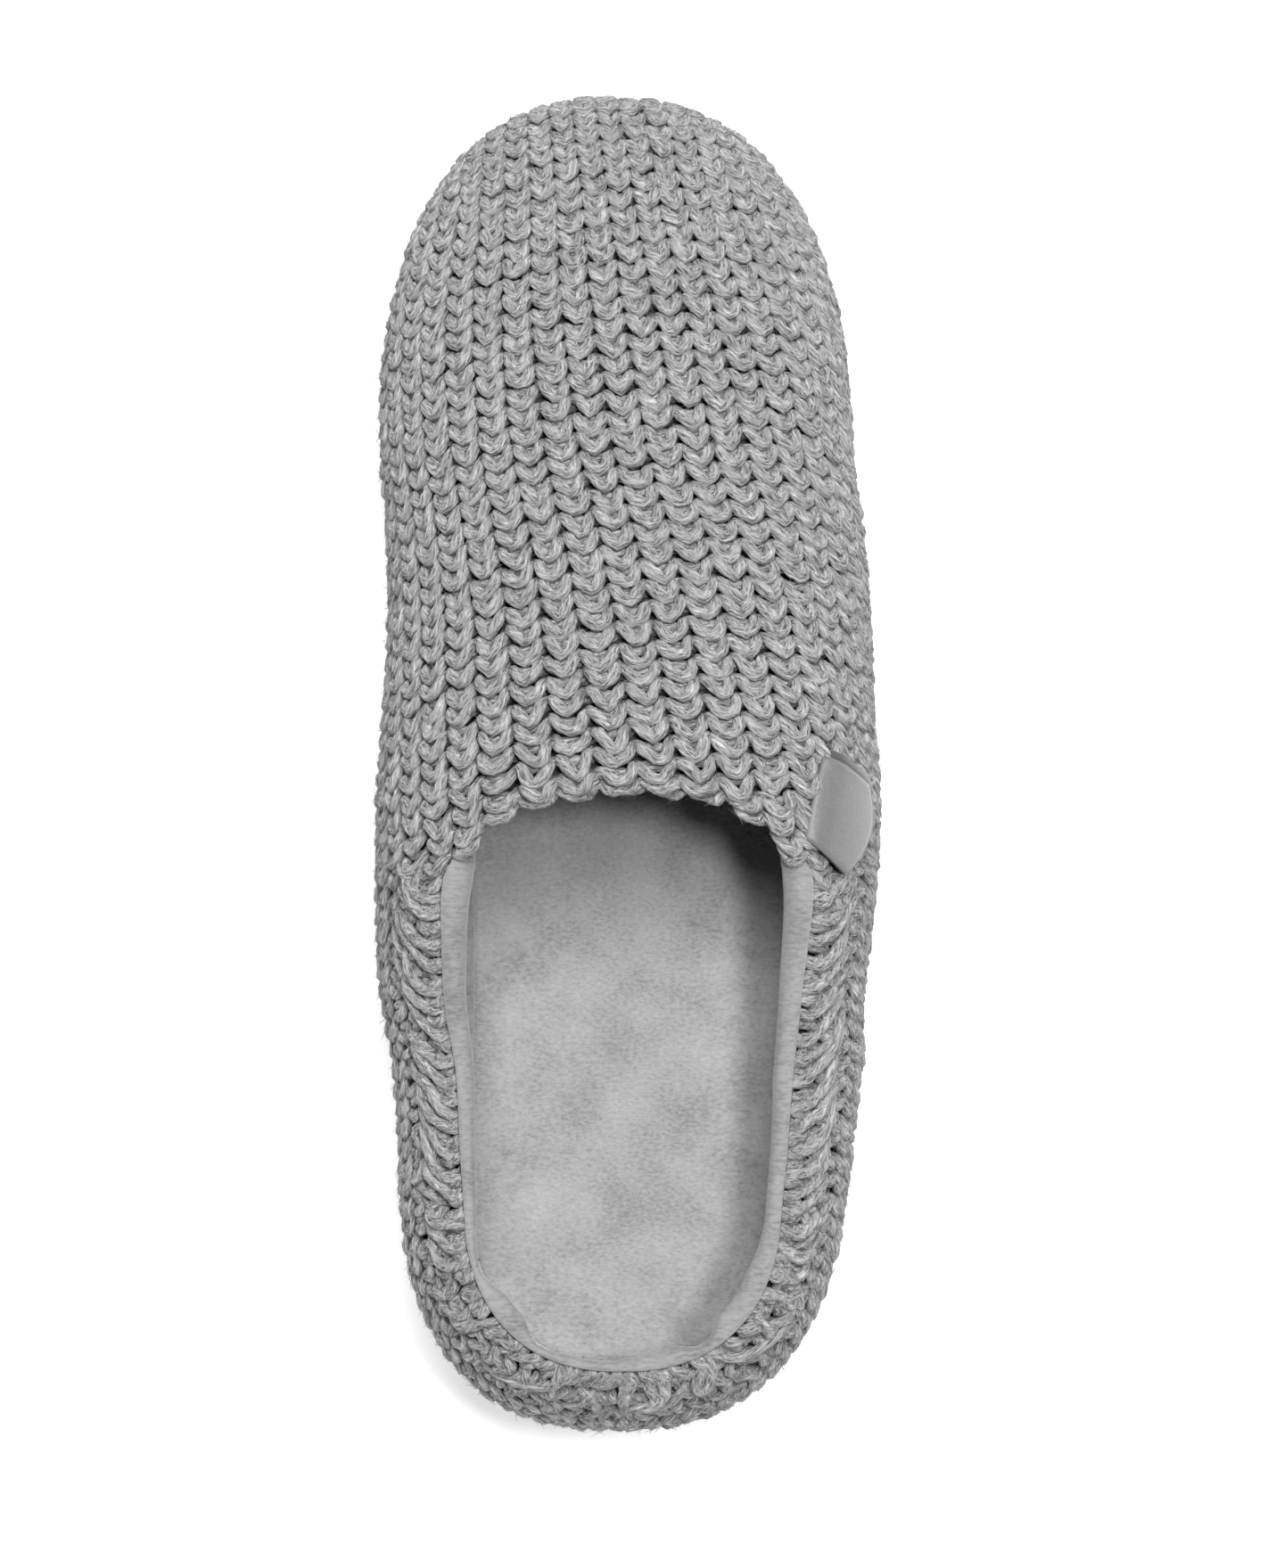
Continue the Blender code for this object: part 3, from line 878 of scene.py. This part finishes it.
# Stray fibres, each a thin three-sided tube
fuzz = {
    "each": 6,
    "length": (1.2, 3.6),
    "radius": 0.07,
    "lift": (0.15, 0.55),
    "around": 1.3,         # radians either way from the top of the yarn
    "bend": 0.5,
    "rings": (0.0, 0.35, 0.7, 1.0),
    "corners": (0.0, 2.1, 4.2),
}


def growHairs(rng, middle, forward, sideways, upward, radius):
    # stray fibres that leave the yarn's outer half
    hairs = []
    for _ in range(fuzz["each"]):
        i = rng.randint(2, len(middle) - 2)
        turn = rng.uniform(-fuzz["around"], fuzz["around"])
        away = upward[i] * math.cos(turn) + sideways[i] * math.sin(turn)
        cross = sideways[i] * math.cos(turn) - upward[i] * math.sin(turn)
        long = rng.uniform(*fuzz["length"])
        way = forward[i] * (1 if rng.uniform() < 0.5 else -1)
        bend, lift = rng.uniform(-fuzz["bend"], fuzz["bend"]), rng.uniform(*fuzz["lift"])
        for t in fuzz["rings"]:
            spot = middle[i] + away * (radius * 0.95 + long * lift * 0.35 * t * (1 + t))
            spot = spot + way * long * t * (1 - 0.3 * t) + cross * long * bend * t * t
            thick = fuzz["radius"] * (1 - 0.6 * t)
            for corner in fuzz["corners"]:
                hairs.append(spot + thick * (away * math.cos(corner) + cross * math.sin(corner)))
    return np.array(hairs)


def mixLoop(forms, number, course, bend, flat):
    # more or less sharp from region to region, and flatter at the opening's edge
    rounds, sharps, flats = forms
    drift = 0.5 + 0.5 * math.sin(0.9 * number + 2.1 * math.sin(0.23 * course) + 0.35 * course)
    everywhere, byRegion, byChance = stitch["sharp"]
    sharp = clamp(everywhere + byRegion * drift + byChance * bend[0])
    shape = rounds * (1 - sharp) + sharps * sharp
    return shape * (1 - flat) + flats * flat


def strayLoop(shape, bend, frayed, mess):
    # moves a loop off its regular form, while its two ends stay where they are tucked in
    hold = 1 - (2 * np.abs(shape[:, 0])) ** 4
    wave = np.linspace(0, 2 * pi, len(shape))
    shape[:, 1] += hold * (stitch["shiftAlong"] * bend[1] + stitch["tilt"] * bend[2] * shape[:, 0])
    shape[:, 2] += hold * stitch["shiftDeep"] * bend[3]
    shape[:, 0] *= 1 + hold * stitch["sway"] * bend[4]
    shape[:, 0] += hold * stitch["slide"] * bend[5]
    swing = np.sin(wave * (1 + abs(bend[6])) + 6 * bend[7])
    shape[:, 0] += hold * stitch["wobble"] / knit["walePitch"] * swing
    shape[:, 1] += hold * stitch["wobble"] * np.sin(wave * (1.4 + abs(bend[7])) + 6 * bend[6])
    chance, waved = fray["along"]
    shape[:, 0] += hold * frayed * fray["across"] * bend[3] * np.cos(wave)
    shape[:, 1] += hold * frayed * (chance * bend[4] + waved * np.sin(wave * 1.5 + 6 * bend[5]))
    shape[:, 2] += hold * frayed * fray["deep"] * np.sin(wave * 1.2 + 6 * bend[0])
    chance, waved = tangle["along"]
    shape[:, 0] += hold * mess * tangle["across"] * np.sin(wave * 1.5 + 6 * bend[3])
    shape[:, 1] += hold * mess * (chance * bend[0] + waved * np.sin(wave + 6 * bend[1]))
    lower, waved = tangle["deep"]
    shape[:, 2] += hold * mess * (lower + waved * np.sin(wave * 1.2 + 6 * bend[2]))


def tuckPath(tucks, bend, mess):
    behind = tucks.copy()
    shift, more = tuck["shift"]
    behind[:, 1] += (shift + more * mess) * bend[6] + tuck["tilt"] * mess * bend[4] * behind[:, 0]
    lift, chance = tuck["raise"]
    behind[:, 2] -= mess * (lift + chance * bend[5]) * (1 - (1.9 * np.abs(behind[:, 0])) ** 2)
    return behind


def buildStitches():
    rng = np.random.RandomState(7)
    rounds, even = splinePath(roundLoop, stitch["rings"])
    sharps = splinePath(sharpLoop, stitch["rings"])[0]
    flats = splinePath(flatLoop, stitch["rings"])[0]
    tucks, tuckEven = splinePath(tuckLoop, tuck["rings"])
    tuckRadius = np.full(len(tucks), tuck["radius"])
    made, dropped = [], 0
    for number, course, at in placeStitches():
        bend = rng.uniform(-1, 1, 8)
        place = float(placeOn(number, np.array(0.0), at))
        wale = float(waleAt(number, place))
        gap = seamGap(wale, place)
        near = beforeEdge(wale, place)
        past = near if gap < 0 and place < last["throatY"] else -near
        mess = clamp((tangle["startY"] - place) / tangle["fade"])
        mess = mess * clamp((tangle["wales"] - gap) / tangle["waleFade"])
        most, reach = stitch["edgeFlat"]
        flat = max(most * clamp(past / reach), tangle["flat"] * mess)
        shape = mixLoop((rounds, sharps, flats), number, course, bend, flat)
        strayLoop(shape, bend, clamp((fray["reach"] - near) / fray["fade"]) * (1 - mess), mess)
        behind = tuckPath(tucks, bend, mess)
        if place < stitch["edgeLoopY"] and gap < 1.02:
            shape = edgeLoop(shape, wale, bend)
            behind[:, 2] = tuck["edgeDeep"] + 0.3 * bend[3] + tuck["edgeDive"] * np.abs(behind[:, 0]) ** 3
        if place < stitch["edgeDeepY"]:
            floor = stitch["edgeDeep"] + stitch["edgeSlope"] * max(0.0, gap)
            shape[:, 2] = np.minimum(shape[:, 2], floor)
            behind[:, 2] = np.minimum(behind[:, 2], floor + 0.3)
        share = np.clip(np.abs(shape[:, 0]) * 2, 0, 1)
        bottom, arms, ends = stitch["thick"]
        swell = bottom + arms * np.sin(pi * share) - ends * share ** 3
        radius = stitch["radius"] * (1 - tangle["thinner"] * mess) * swell
        middle, normal = loopPath(number, at, shape)
        lowest = last["soleHeight"] + springAt(middle[:, 1]) - stitch["belowSole"]
        if (middle[:, 2] < lowest).any():
            dropped += 1
            continue
        tube, under, ways = yarnTube(middle, normal, shape[:, 2], radius, stitch["sides"], rng)
        hairs = growHairs(rng, middle, *ways, stitch["radius"])
        made.append((place, tube, under, "loop", rng.uniform(0, 400, 2)))
        made.append((place, hairs, np.full(len(hairs), 0.5), "hairs", rng.uniform(0, 400, 2)))
        middle, normal = loopPath(number, at, behind)
        back, under, _ = yarnTube(middle, normal, behind[:, 2], tuckRadius, tuck["sides"], rng)
        made.append((place, back, under, "tuck", rng.uniform(0, 400, 2)))
    print("loops left out below the sole's top", dropped)
    return made, even, tuckEven


# The back seam: mm deep and how much that varies, and mm of wobble to the sides
heelSeam = {"radius": 0.95, "deep": (1.25, 0.25), "wobble": 0.35}


def buildHeelSeam():
    # one length of yarn that closes the back, from the collar down to the sole
    rng = np.random.RandomState(3)
    count = strand["rings"] * 6
    wale = np.linspace(edges[1.0]["corner"] + 0.05, waleCount + 0.1, count)
    place = places[0] + 0.15 + np.zeros_like(wale)
    turns = wale * knit["walePitch"]
    deep = heelSeam["deep"][0] + heelSeam["deep"][1] * np.sin(turns * 1.5)
    middle, normal = underFace(wale, place, deep)
    middle[:, 0] += heelSeam["wobble"] * np.sin(turns * 0.75)
    radius = np.full(count, heelSeam["radius"])
    tube, under, _ = yarnTube(middle, normal, deep, radius, strand["sides"], rng)
    return (places[0], tube, under, "seam", np.zeros(2))


# Long strands that lie over the loops along the collar, from the seam round to the side
strand = {
    "rings": 14,
    "sides": 8,
    "pitch": 4.9,
    "from": -160.0,
    "to": -27.0,
    "wiggle": 0.5,
    "ends": ((0.2, 1.5), (0.28, 2.6)),  # share of the strand that goes under at each end, and mm deep
    "knotWiggle": 1.9,
    "knotY": -92.0,    # behind this the strands are knotted round the heel
    "knotFade": 30.0,
}

# Radius, wales from the seam at the two ends, mm along at the start, mm of climb and its power, mm deep
strandKinds = (
    (1.15, 0.04, 2.25, 0.0, 2.2, 2.1, 0.95),
    (0.80, 0.04, 1.15, 2.4, 1.0, 1.0, 1.6),
    (0.90, 0.85, 2.60, 1.8, 4.6, 1.2, 1.5),
)


def buildStrands():
    rng = np.random.RandomState(11)
    made = []
    share = np.linspace(0, 1, strand["rings"])
    for side, edge in edges.items():
        for radius, near, far, ahead, climb, power, high in strandKinds:
            for start in np.arange(strand["from"], strand["to"], strand["pitch"]):
                bend = rng.uniform(-1, 1, 9)
                knot = clamp((strand["knotY"] - start) / strand["knotFade"])
                if bend[7] < -1 + 0.7 * knot:
                    continue
                start = start + ahead + (0.9 + 0.6 * knot) * bend[0]
                gap = near + (far * (1 + 0.12 * bend[1]) - near) * share
                wave = np.sin(5.5 * share + 6 * bend[2]) + 0.6 * bend[3] * np.sin(9 * share)
                wiggle = strand["wiggle"] * (1 + strand["knotWiggle"] * knot) * wave
                steep = 1 + 0.35 * bend[4] - knot * (0.6 + 1.5 * bend[8])
                place = start + climb * (gap - near) ** power * steep + wiggle
                wale = side * (np.interp(place, edge["rows"], edge["wale"]) + gap)
                deep = high + 0.3 * bend[5] + 0.3 * np.sin(7 * share + 6 * bend[6])
                (nearEnd, nearDeep), (farEnd, farDeep) = strand["ends"]
                deep = deep + nearDeep * (1 - share / nearEnd).clip(0) ** 1.5
                deep = deep + farDeep * ((share - 1 + farEnd) / farEnd).clip(0) ** 1.5
                middle, normal = underFace(wale, place, deep)
                wide = radius * (1 + 0.14 * bend[8]) * (1.05 - 0.25 * np.abs(2 * share - 1) ** 3)
                tube, under, ways = yarnTube(middle, normal, deep, wide, strand["sides"], rng)
                made.append((start, tube, under, "strand", rng.uniform(0, 400, 2)))
                hairs = growHairs(rng, middle, *ways, radius)
                made.append((start, hairs, np.full(len(hairs), 0.5), "hairs", rng.uniform(0, 400, 2)))
    return made


yarn = yarnMaterial("grey_melange_yarn")
pieces, loopEven, tuckEven = buildStitches()
print("stitches", len(pieces) // 3)
pieces += buildStrands() + [buildHeelSeam()]


def tubeUv(even, sides, radius):
    # yarn coordinates of a tube's quads: mm along and mm around
    rings = len(even)
    column = np.tile(np.arange(sides), rings - 1)
    row = np.repeat(np.arange(rings - 1), sides)
    around = np.stack([column, column + 1, column + 1, column], 1) / sides * 2 * pi * radius
    return np.stack([even[np.stack([row, row, row + 1, row + 1], 1)], around], -1)


def tubeKind(even, sides, radius):
    return gridFaces(len(even), sides, closedColumns=True), tubeUv(even, sides, radius), len(even) * sides


# The tubes that are used: where their rings lie along the yarn in mm, their sides and their radius
tubeKinds = {
    "loop": tubeKind(loopEven, stitch["sides"], stitch["radius"]),
    "tuck": tubeKind(tuckEven, tuck["sides"], tuck["radius"]),
    "strand": tubeKind(np.arange(strand["rings"]) * 1.4, strand["sides"], 1.0),
    "seam": tubeKind(np.arange(strand["rings"] * 6) * 0.6, strand["sides"], 1.0),
    "hairs": tubeKind(np.array([0.0, 0.8, 1.6, 2.4]), 3, 0.4),
}


def joinStitches(name, picked):
    points, deeps, faces, uvs, count = [], [], [], [], 0
    for _, spots, under, kind, shift in picked:
        quads, uv, size = tubeKinds[kind]
        for n in range(len(spots) // size):
            faces.append(quads + count)
            uvs.append(uv + shift + np.array([3.0, 4.1]) * n)
            count += size
        points.append(spots)
        deeps.append(under)
    piece = makeMesh(name, np.concatenate(points), np.concatenate(faces), [yarn])
    layer = piece.data.uv_layers.new(name="yarn")
    layer.data.foreach_set("uv", np.concatenate(uvs).ravel())
    piece.data.attributes.new("deep", "FLOAT", "POINT").data.foreach_set("value", np.concatenate(deeps))
    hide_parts("upper")
    print(name, "triangles", 2 * len(piece.data.polygons))


# The knit is kept in five pieces, by where they start
zones = (
    ("knit_heel", -200.0),
    ("knit_collar", -84.0),
    ("knit_instep", -12.0),
    ("knit_vamp", 34.0),
    ("knit_toe", 82.0),
)
for n, (name, low) in enumerate(zones):
    high = zones[n + 1][1] if n + 1 < len(zones) else 400.0
    joinStitches(name, [made for made in pieces if low <= made[0] < high])

# Padding: one closed wall, plush inside and over the rolled edge, dark backing under the yarn whose
# near-black tone is painted shade for the gaps between stitches

padding = {
    "around": 320,
    "underRows": 6,
    "outerRows": 26,
    "lipRows": 20,
    "innerRows": 24,
    "backDepth": 4.7,
    "throatInset": 3.2,
    "coverStart": -23.0,
    "coverFade": 8.0,
    "footGap": 0.05,     # the padding swells in to the insole at its foot
    "cuffOver": 1.2,     # and a little over its rounded edge
    "swellEnd": 0.55,    # share of the wall up to which it swells
    "pressFrom": 0.75,   # share of the wall above which the cuff is pressed
    "creaseFrom": 0.9,   # a press of more mm than this also sinks the cuff
    "crease": 0.6,
    "hemFrom": 0.86,     # share of the wall above which the backing rises to the seam
    "hemDepth": 0.7,
}

# The plush cuff: x and y on the edge, and how many mm narrower than its full roll it is there
cuffRows = (
    (-37.5, -26.0, 0.0),
    (-37.3, -50.0, 0.2),
    (-35.3, -65.0, 0.3),
    (-34.3, -81.0, 0.6),
    (-33.9, -95.0, 1.1),
    (-31.6, -105.0, 2.2),
    (-28.2, -112.0, -0.8),
    (-24.2, -117.1, -0.9),
    (-19.2, -121.6, 2.3),
    (-12.0, -124.6, 1.3),
    (-8.7, -125.3, 1.6),
    (-1.0, -126.0, 1.0),
    (5.0, -125.7, 0.3),
    (11.0, -124.5, -0.2),
    (17.2, -121.9, 2.2),
    (21.5, -118.6, -0.9),
    (29.0, -107.5, -1.0),
    (32.2, -95.0, 0.3),
    (33.6, -81.0, 0.2),
    (35.0, -65.0, -0.2),
    (37.0, -50.0, 0.2),
    (38.6, -26.0, 0.0),
)


def edgeCover(y):
    # 1 where the knit rolls over the throat's edge, 0 along the collar where the plush shows
    return np.clip((y - padding["coverStart"]) / padding["coverFade"], 0.0, 1.0)


def cuffPress(angles):
    # how far the lining's edge is pressed back at each angle
    dense = np.linspace(0, 2 * pi, 4000)
    spots = openingPlan(dense)
    at = np.array([dense[np.argmin(np.hypot(spots[:, 0] - x, spots[:, 1] - y))] for x, y, _ in cuffRows])
    value = np.array([row[2] for row in cuffRows])
    order = np.argsort(at)
    at, value = at[order], value[order]
    return np.interp(angles, at, value)


def buildPadding():
    angles = np.linspace(0, 2 * pi, padding["around"], endpoint=False)
    angles = angles + 0.5 * pi / padding["around"]
    rows, kinds = [], []
    rimY = openingPlan(angles)[:, 1]
    cover = edgeCover(rimY)
    press = cuffPress(angles)
    sunk = padding["crease"] * np.maximum(0.0, press - padding["creaseFrom"])
    crease = np.array([0.0, 0.0, 1.0]) * sunk[:, None]
    for rise in np.linspace(-1, 0, padding["underRows"], endpoint=False):
        base = wallPoint(angles, np.full_like(angles, rise))
        normal = unit(wallFrame(angles, np.zeros_like(angles))[0] * np.array([1.0, 1.0, 0.0]))
        rows.append(base - normal * padding["backDepth"])
        kinds.append(0)
    for rise in np.linspace(0, 1, padding["outerRows"]):
        base = wallPoint(angles, np.full_like(angles, rise))
        normal = wallFrame(angles, np.full_like(angles, rise))[0]
        near = clamp((rise - padding["hemFrom"]) / (1 - padding["hemFrom"])) ** 2 * (1 - cover)
        deep = np.minimum(padding["backDepth"], 0.62 * edgeThickness(angles) + 3.0 * (1 - rise))
        rows.append(base - normal * (deep * (1 - near) + padding["hemDepth"] * near)[:, None])
        kinds.append(0)
    normal, up = wallFrame(angles, np.ones_like(angles))
    flatUp = unit(up * np.array([1.0, 1.0, 0.0]))
    radius = edgeThickness(angles) / 2
    small = np.maximum(radius - padding["throatInset"], 0.7)
    lipRadius = (radius - 0.35) * (1 - cover) + small * cover
    centre = wallPoint(angles, np.ones_like(angles)) - normal * radius[:, None]
    for turn in np.linspace(0.25, pi, padding["lipRows"]):
        grow = (lipRadius + (radius - lipRadius) * max(0.0, (turn - 2.3) / (pi - 2.3)))[:, None]
        ease = clamp((turn - 0.5) / 1.3) * (1 - cover)
        back = flatUp * (press * ease)[:, None] + crease * np.minimum(1.0, ease * 2)[:, None]
        rows.append(centre + normal * grow * math.cos(turn) + up * grow * math.sin(turn) - back)
        kinds.append(1)
    foot = featherPlan(angles, last["wallAtSole"] + padding["footGap"])
    cuff = featherPlan(angles, last["wallAtSole"] + padding["cuffOver"])
    for rise in np.linspace(1, 0, padding["innerRows"])[1:]:
        share = max(0.0, (rise - padding["pressFrom"]) / (1 - padding["pressFrom"]))
        held = press * (1 - cover) * share
        row = liningPoint(angles, np.full_like(angles, rise)) - flatUp * held[:, None]
        row = row - crease * ((1 - cover) * share)[:, None]
        swell = max(0.0, 1 - rise / padding["swellEnd"]) ** 1.5
        row[:, :2] += (cuff - row[:, :2]) * swell
        rows.append(row)
        kinds.append(1)
    for rise in np.linspace(0, -1, padding["underRows"])[1:]:
        row = liningPoint(angles, np.full_like(angles, rise))
        row[:, :2] = cuff if rise > -0.3 else foot
        rows.append(row)
        kinds.append(1)
    points = np.array(rows).reshape(-1, 3)
    faces = gridFaces(len(rows), padding["around"], closedRows=True, closedColumns=True)
    kinds.append(0)
    slots = np.repeat(np.array(kinds[1:]), padding["around"])
    piece = makeMesh("padded_lining", points, faces[:, ::-1], [backing, plush], slots)
    sealMesh(piece)
    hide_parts("upper")
    return piece


# painted shade: the backing is near-black so the gaps between the stitches read as deep shade
backing = plainMaterial("knit_backing_painted_shade", ((0.3, 0.035), (0.7, 0.08)), 900.0, 0.95, (0.4, 0.0005))
# the lining's pile gets painted shade inside the toe
plush = plushMaterial("grey_plush_lining", plushLook["lining"], (0.35, 1.0, 0.35), (-0.016, -0.002))
buildPadding()
print("padding made")

insoleForm = {"around": 200, "inset": 7.4, "across": 30, "crown": 0.5, "fullWidth": 70.0}

# How the slab's side rises from the sole: mm up from its underside, or down from its top, and mm drawn in
insoleSide = ((0.0, 1.2), (1.4, 0.0), (-1.6, 0.0), (-0.8, 0.15), (-0.25, 0.7), (0.0, 1.8))


def buildInsole():
    # a slab with a rounded edge and a softly crowned top
    count, columns = insoleForm["around"], insoleForm["across"]
    angles = np.linspace(0, 2 * pi, count, endpoint=False)
    base, top = last["soleHeight"], last["soleHeight"] + last["bedHeight"]
    rows = []
    for n, (height, inset) in enumerate(insoleSide):
        plan = featherPlan(angles, insoleForm["inset"] + inset)
        level = base + height if n < 2 else top + height
        rows.append(np.stack([plan[:, 0], plan[:, 1], level + springAt(plan[:, 1])], -1))
    points = [np.array(rows).reshape(-1, 3)]
    faces = [gridFaces(len(rows), count, closedColumns=True)]
    used = len(rows) * count
    outer = np.arange(count // 2 + 1)
    inner = (count - outer) % count
    share = ((1 - np.cos(np.linspace(0, pi, columns))) / 2)[None, :, None]
    for ring, crown in ((rows[-1], insoleForm["crown"]), (rows[0], 0.0)):
        cap = ring[outer][:, None] * (1 - share) + ring[inner][:, None] * share
        wide = np.linalg.norm(ring[outer] - ring[inner], axis=1)[:, None] / insoleForm["fullWidth"]
        cap[:, :, 2] += crown * np.minimum(wide, 1.0) * 4 * share[:, :, 0] * (1 - share[:, :, 0])
        points.append(cap.reshape(-1, 3))
        faces.append(gridFaces(len(outer), columns) + used)
        used += len(outer) * columns
    piece = makeMesh("plush_insole", np.concatenate(points), np.concatenate(faces), [plushBed])
    sealMesh(piece)
    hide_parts("insole")


# the bed's pile gets painted shade under the vamp, towards the toe
plushBed = plushMaterial("grey_plush_bed", plushLook["bed"], (0.6, 1.0, 1.0), (0.0, 0.014))
buildInsole()
print("insole made")

# Ribbon tab: two layers folded over at the outer side and sewn in under the throat's edge

labelForm = {
    "frontInner": (40.6, 1.6),
    "frontOuter": (48.6, -4.6),
    "middleOuter": (49.2, -14.5),
    "backInner": (36.6, -15.6),
    "backOuter": (43.9, -22.6),
    "thick": 0.42,
    "lift": 0.55,
    "sink": 2.0,         # how deep the sewn side sits in the yarn
    "layerGap": 0.5,
    "layerShift": 1.7,   # the layer below shows this far past the upper one's front edge
    "selvedge": 0.16,    # how much thicker the woven front edge is
    "steps": 18,
}


def aboveWall(x, y, gap):
    return np.stack([x, y, crownHeight(x, y)], -1) + crownNormal(x, y, 0.4) * gap[..., None]


def ribbonLayer(shift, low):
    # one layer as a thin slab: across runs from the sewn side to the fold
    steps = labelForm["steps"] + 1
    j, i = np.meshgrid(np.linspace(0, 1, steps), np.linspace(0, 1, steps), indexing="ij")
    corners = ("frontInner", "frontOuter", "middleOuter", "backInner", "backOuter")
    place = {corner: np.array(labelForm[corner]) for corner in corners}
    inner = place["frontInner"] + (place["backInner"] - place["frontInner"]) * j[..., None]
    t = j[..., None]
    control = (place["middleOuter"] - 0.25 * place["frontOuter"] - 0.25 * place["backOuter"]) * 2
    outer = (1 - t) ** 2 * place["frontOuter"] + 2 * t * (1 - t) * control + t * t * place["backOuter"]
    plan = inner + (outer - inner) * i[..., None] + np.array([0.25, 1.0]) * shift * (1 - t) ** 2
    rise = labelForm["lift"] + low - labelForm["sink"] * np.maximum(0.0, 1 - i / 0.35) ** 2
    rise = rise + 0.35 * np.sin(pi * i) * (1 - j * 0.5) + labelForm["selvedge"] * (j < 0.06)
    top = aboveWall(plan[..., 0], plan[..., 1], rise + labelForm["thick"])
    under = aboveWall(plan[..., 0], plan[..., 1], rise)
    points = np.concatenate([top.reshape(-1, 3), under.reshape(-1, 3)])
    quads = gridFaces(steps, steps)
    border = list(range(steps)) + [r * steps + steps - 1 for r in range(1, steps)]
    border += [(steps - 1) * steps + k for k in range(steps - 2, -1, -1)]
    border += [r * steps for r in range(steps - 2, 0, -1)]
    lower = steps * steps
    sides = [[a, b, b + lower, a + lower] for a, b in zip(border, border[1:] + border[:1])]
    return points, np.concatenate([quads[:, ::-1], quads + lower, np.array(sides)])


def buildLabel():
    upperPoints, faces = ribbonLayer(0.0, labelForm["layerGap"])
    lowerPoints, moreFaces = ribbonLayer(labelForm["layerShift"], 0.0)
    points = np.concatenate([upperPoints, lowerPoints])
    slots = np.repeat([0, 1], [len(faces), len(moreFaces)])
    everyFace = np.concatenate([faces, moreFaces + len(upperPoints)])
    piece = makeMesh("ribbon_label", points, everyFace, [satin, satinBack], slots)
    sealMesh(piece)
    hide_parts("label_tab")


satin = plainMaterial("grey_satin_ribbon", ((0.3, 0.20), (0.7, 0.25)), 1400.0, 0.42, (0.15, 0.0002), 0.2)
satinBack = plainMaterial("dark_ribbon_back", ((0.3, 0.07), (0.7, 0.11)), 1400.0, 0.5, (0.15, 0.0002), 0.2)
buildLabel()
print("label made")

rubber = plainMaterial("dark_grey_rubber", ((0.3, 0.07), (0.7, 0.11)), 700.0, 0.7, (0.35, 0.0004))
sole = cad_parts["outsole"]
for slotHolder in sole.material_slots:
    slotHolder.material = rubber
if not sole.material_slots:
    sole.data.materials.append(rubber)

# Camera, light and floor

view = {
    "imageSize": (1440, 1759),
    "mmPerPixel": 0.1889,
    "centre": (3.0, -4.3, 22.0),
    "distance": 1200.0,
    "sensor": 24.0,
}


lighting = {
    "room": 0.04,
    "floorGlow": 0.57,
    "lamps": (
        # name, place in metres, size in metres, watts
        ("key", (0.35, 0.08, 1.5), 0.26, 10.5),
        ("toe_soft", (0.0, 0.62, 1.45), 0.75, 17.5),
        ("outer_fill", (1.4, 0.0, 0.36), 0.5, 0.2),
        ("inner_fill", (-1.4, 0.0, 0.36), 0.5, 0.9),
        ("heel_fill", (0.0, -1.5, 0.36), 0.5, 3.4),
    ),
}


def addCamera():
    data = bpy.data.cameras.new("camera")
    camera = bpy.data.objects.new("camera", data)
    bpy.context.scene.collection.objects.link(camera)
    data.sensor_fit = "VERTICAL"
    data.sensor_height = view["sensor"]
    tall = view["imageSize"][1] * view["mmPerPixel"]
    data.lens = view["sensor"] * view["distance"] / tall
    data.sensor_width = view["sensor"]
    x, y, z = view["centre"]
    camera.location = (x * mm, y * mm, (z + view["distance"]) * mm)
    camera.rotation_euler = (0.0, 0.0, 0.0)
    data.clip_end = 10.0
    bpy.context.scene.camera = camera


def addLight(name, place, aim, size, power):
    data = bpy.data.lights.new(name, "AREA")
    data.shape = "DISK"
    data.size = size
    data.energy = power
    lamp = bpy.data.objects.new(name, data)
    lamp.location = place
    lamp.rotation_euler = (Vector(aim) - Vector(place)).to_track_quat("-Z", "Y").to_euler()
    bpy.context.scene.collection.objects.link(lamp)


def addStage():
    bpy.ops.mesh.primitive_plane_add(size=8.0, location=(0.0, 0.0, 0.0))
    floor = bpy.context.object
    floor.location.z = -0.1 * mm
    floor.name = "studio_floor"
    paper, _, shader = newMaterial("white_paper_floor", 0.9)
    shader.inputs["Base Color"].default_value = (0.92, 0.92, 0.92, 1.0)
    shader.inputs["Emission Color"].default_value = (1.0, 1.0, 1.0, 1.0)
    shader.inputs["Emission Strength"].default_value = lighting["floorGlow"]
    floor.data.materials.append(paper)
    world = bpy.data.worlds.new("studio")
    bpy.context.scene.world = world
    world.use_nodes = True
    world.node_tree.nodes["Background"].inputs[0].default_value = (1.0, 1.0, 1.0, 1.0)
    world.node_tree.nodes["Background"].inputs[1].default_value = lighting["room"]
    for name, place, size, power in lighting["lamps"]:
        addLight(name, place, (0.0, 0.0, 0.03), size, power)
    bpy.context.scene.view_settings.view_transform = "Standard"


addCamera()
addStage()
print("camera and light set")

bpy.context.view_layer.update()
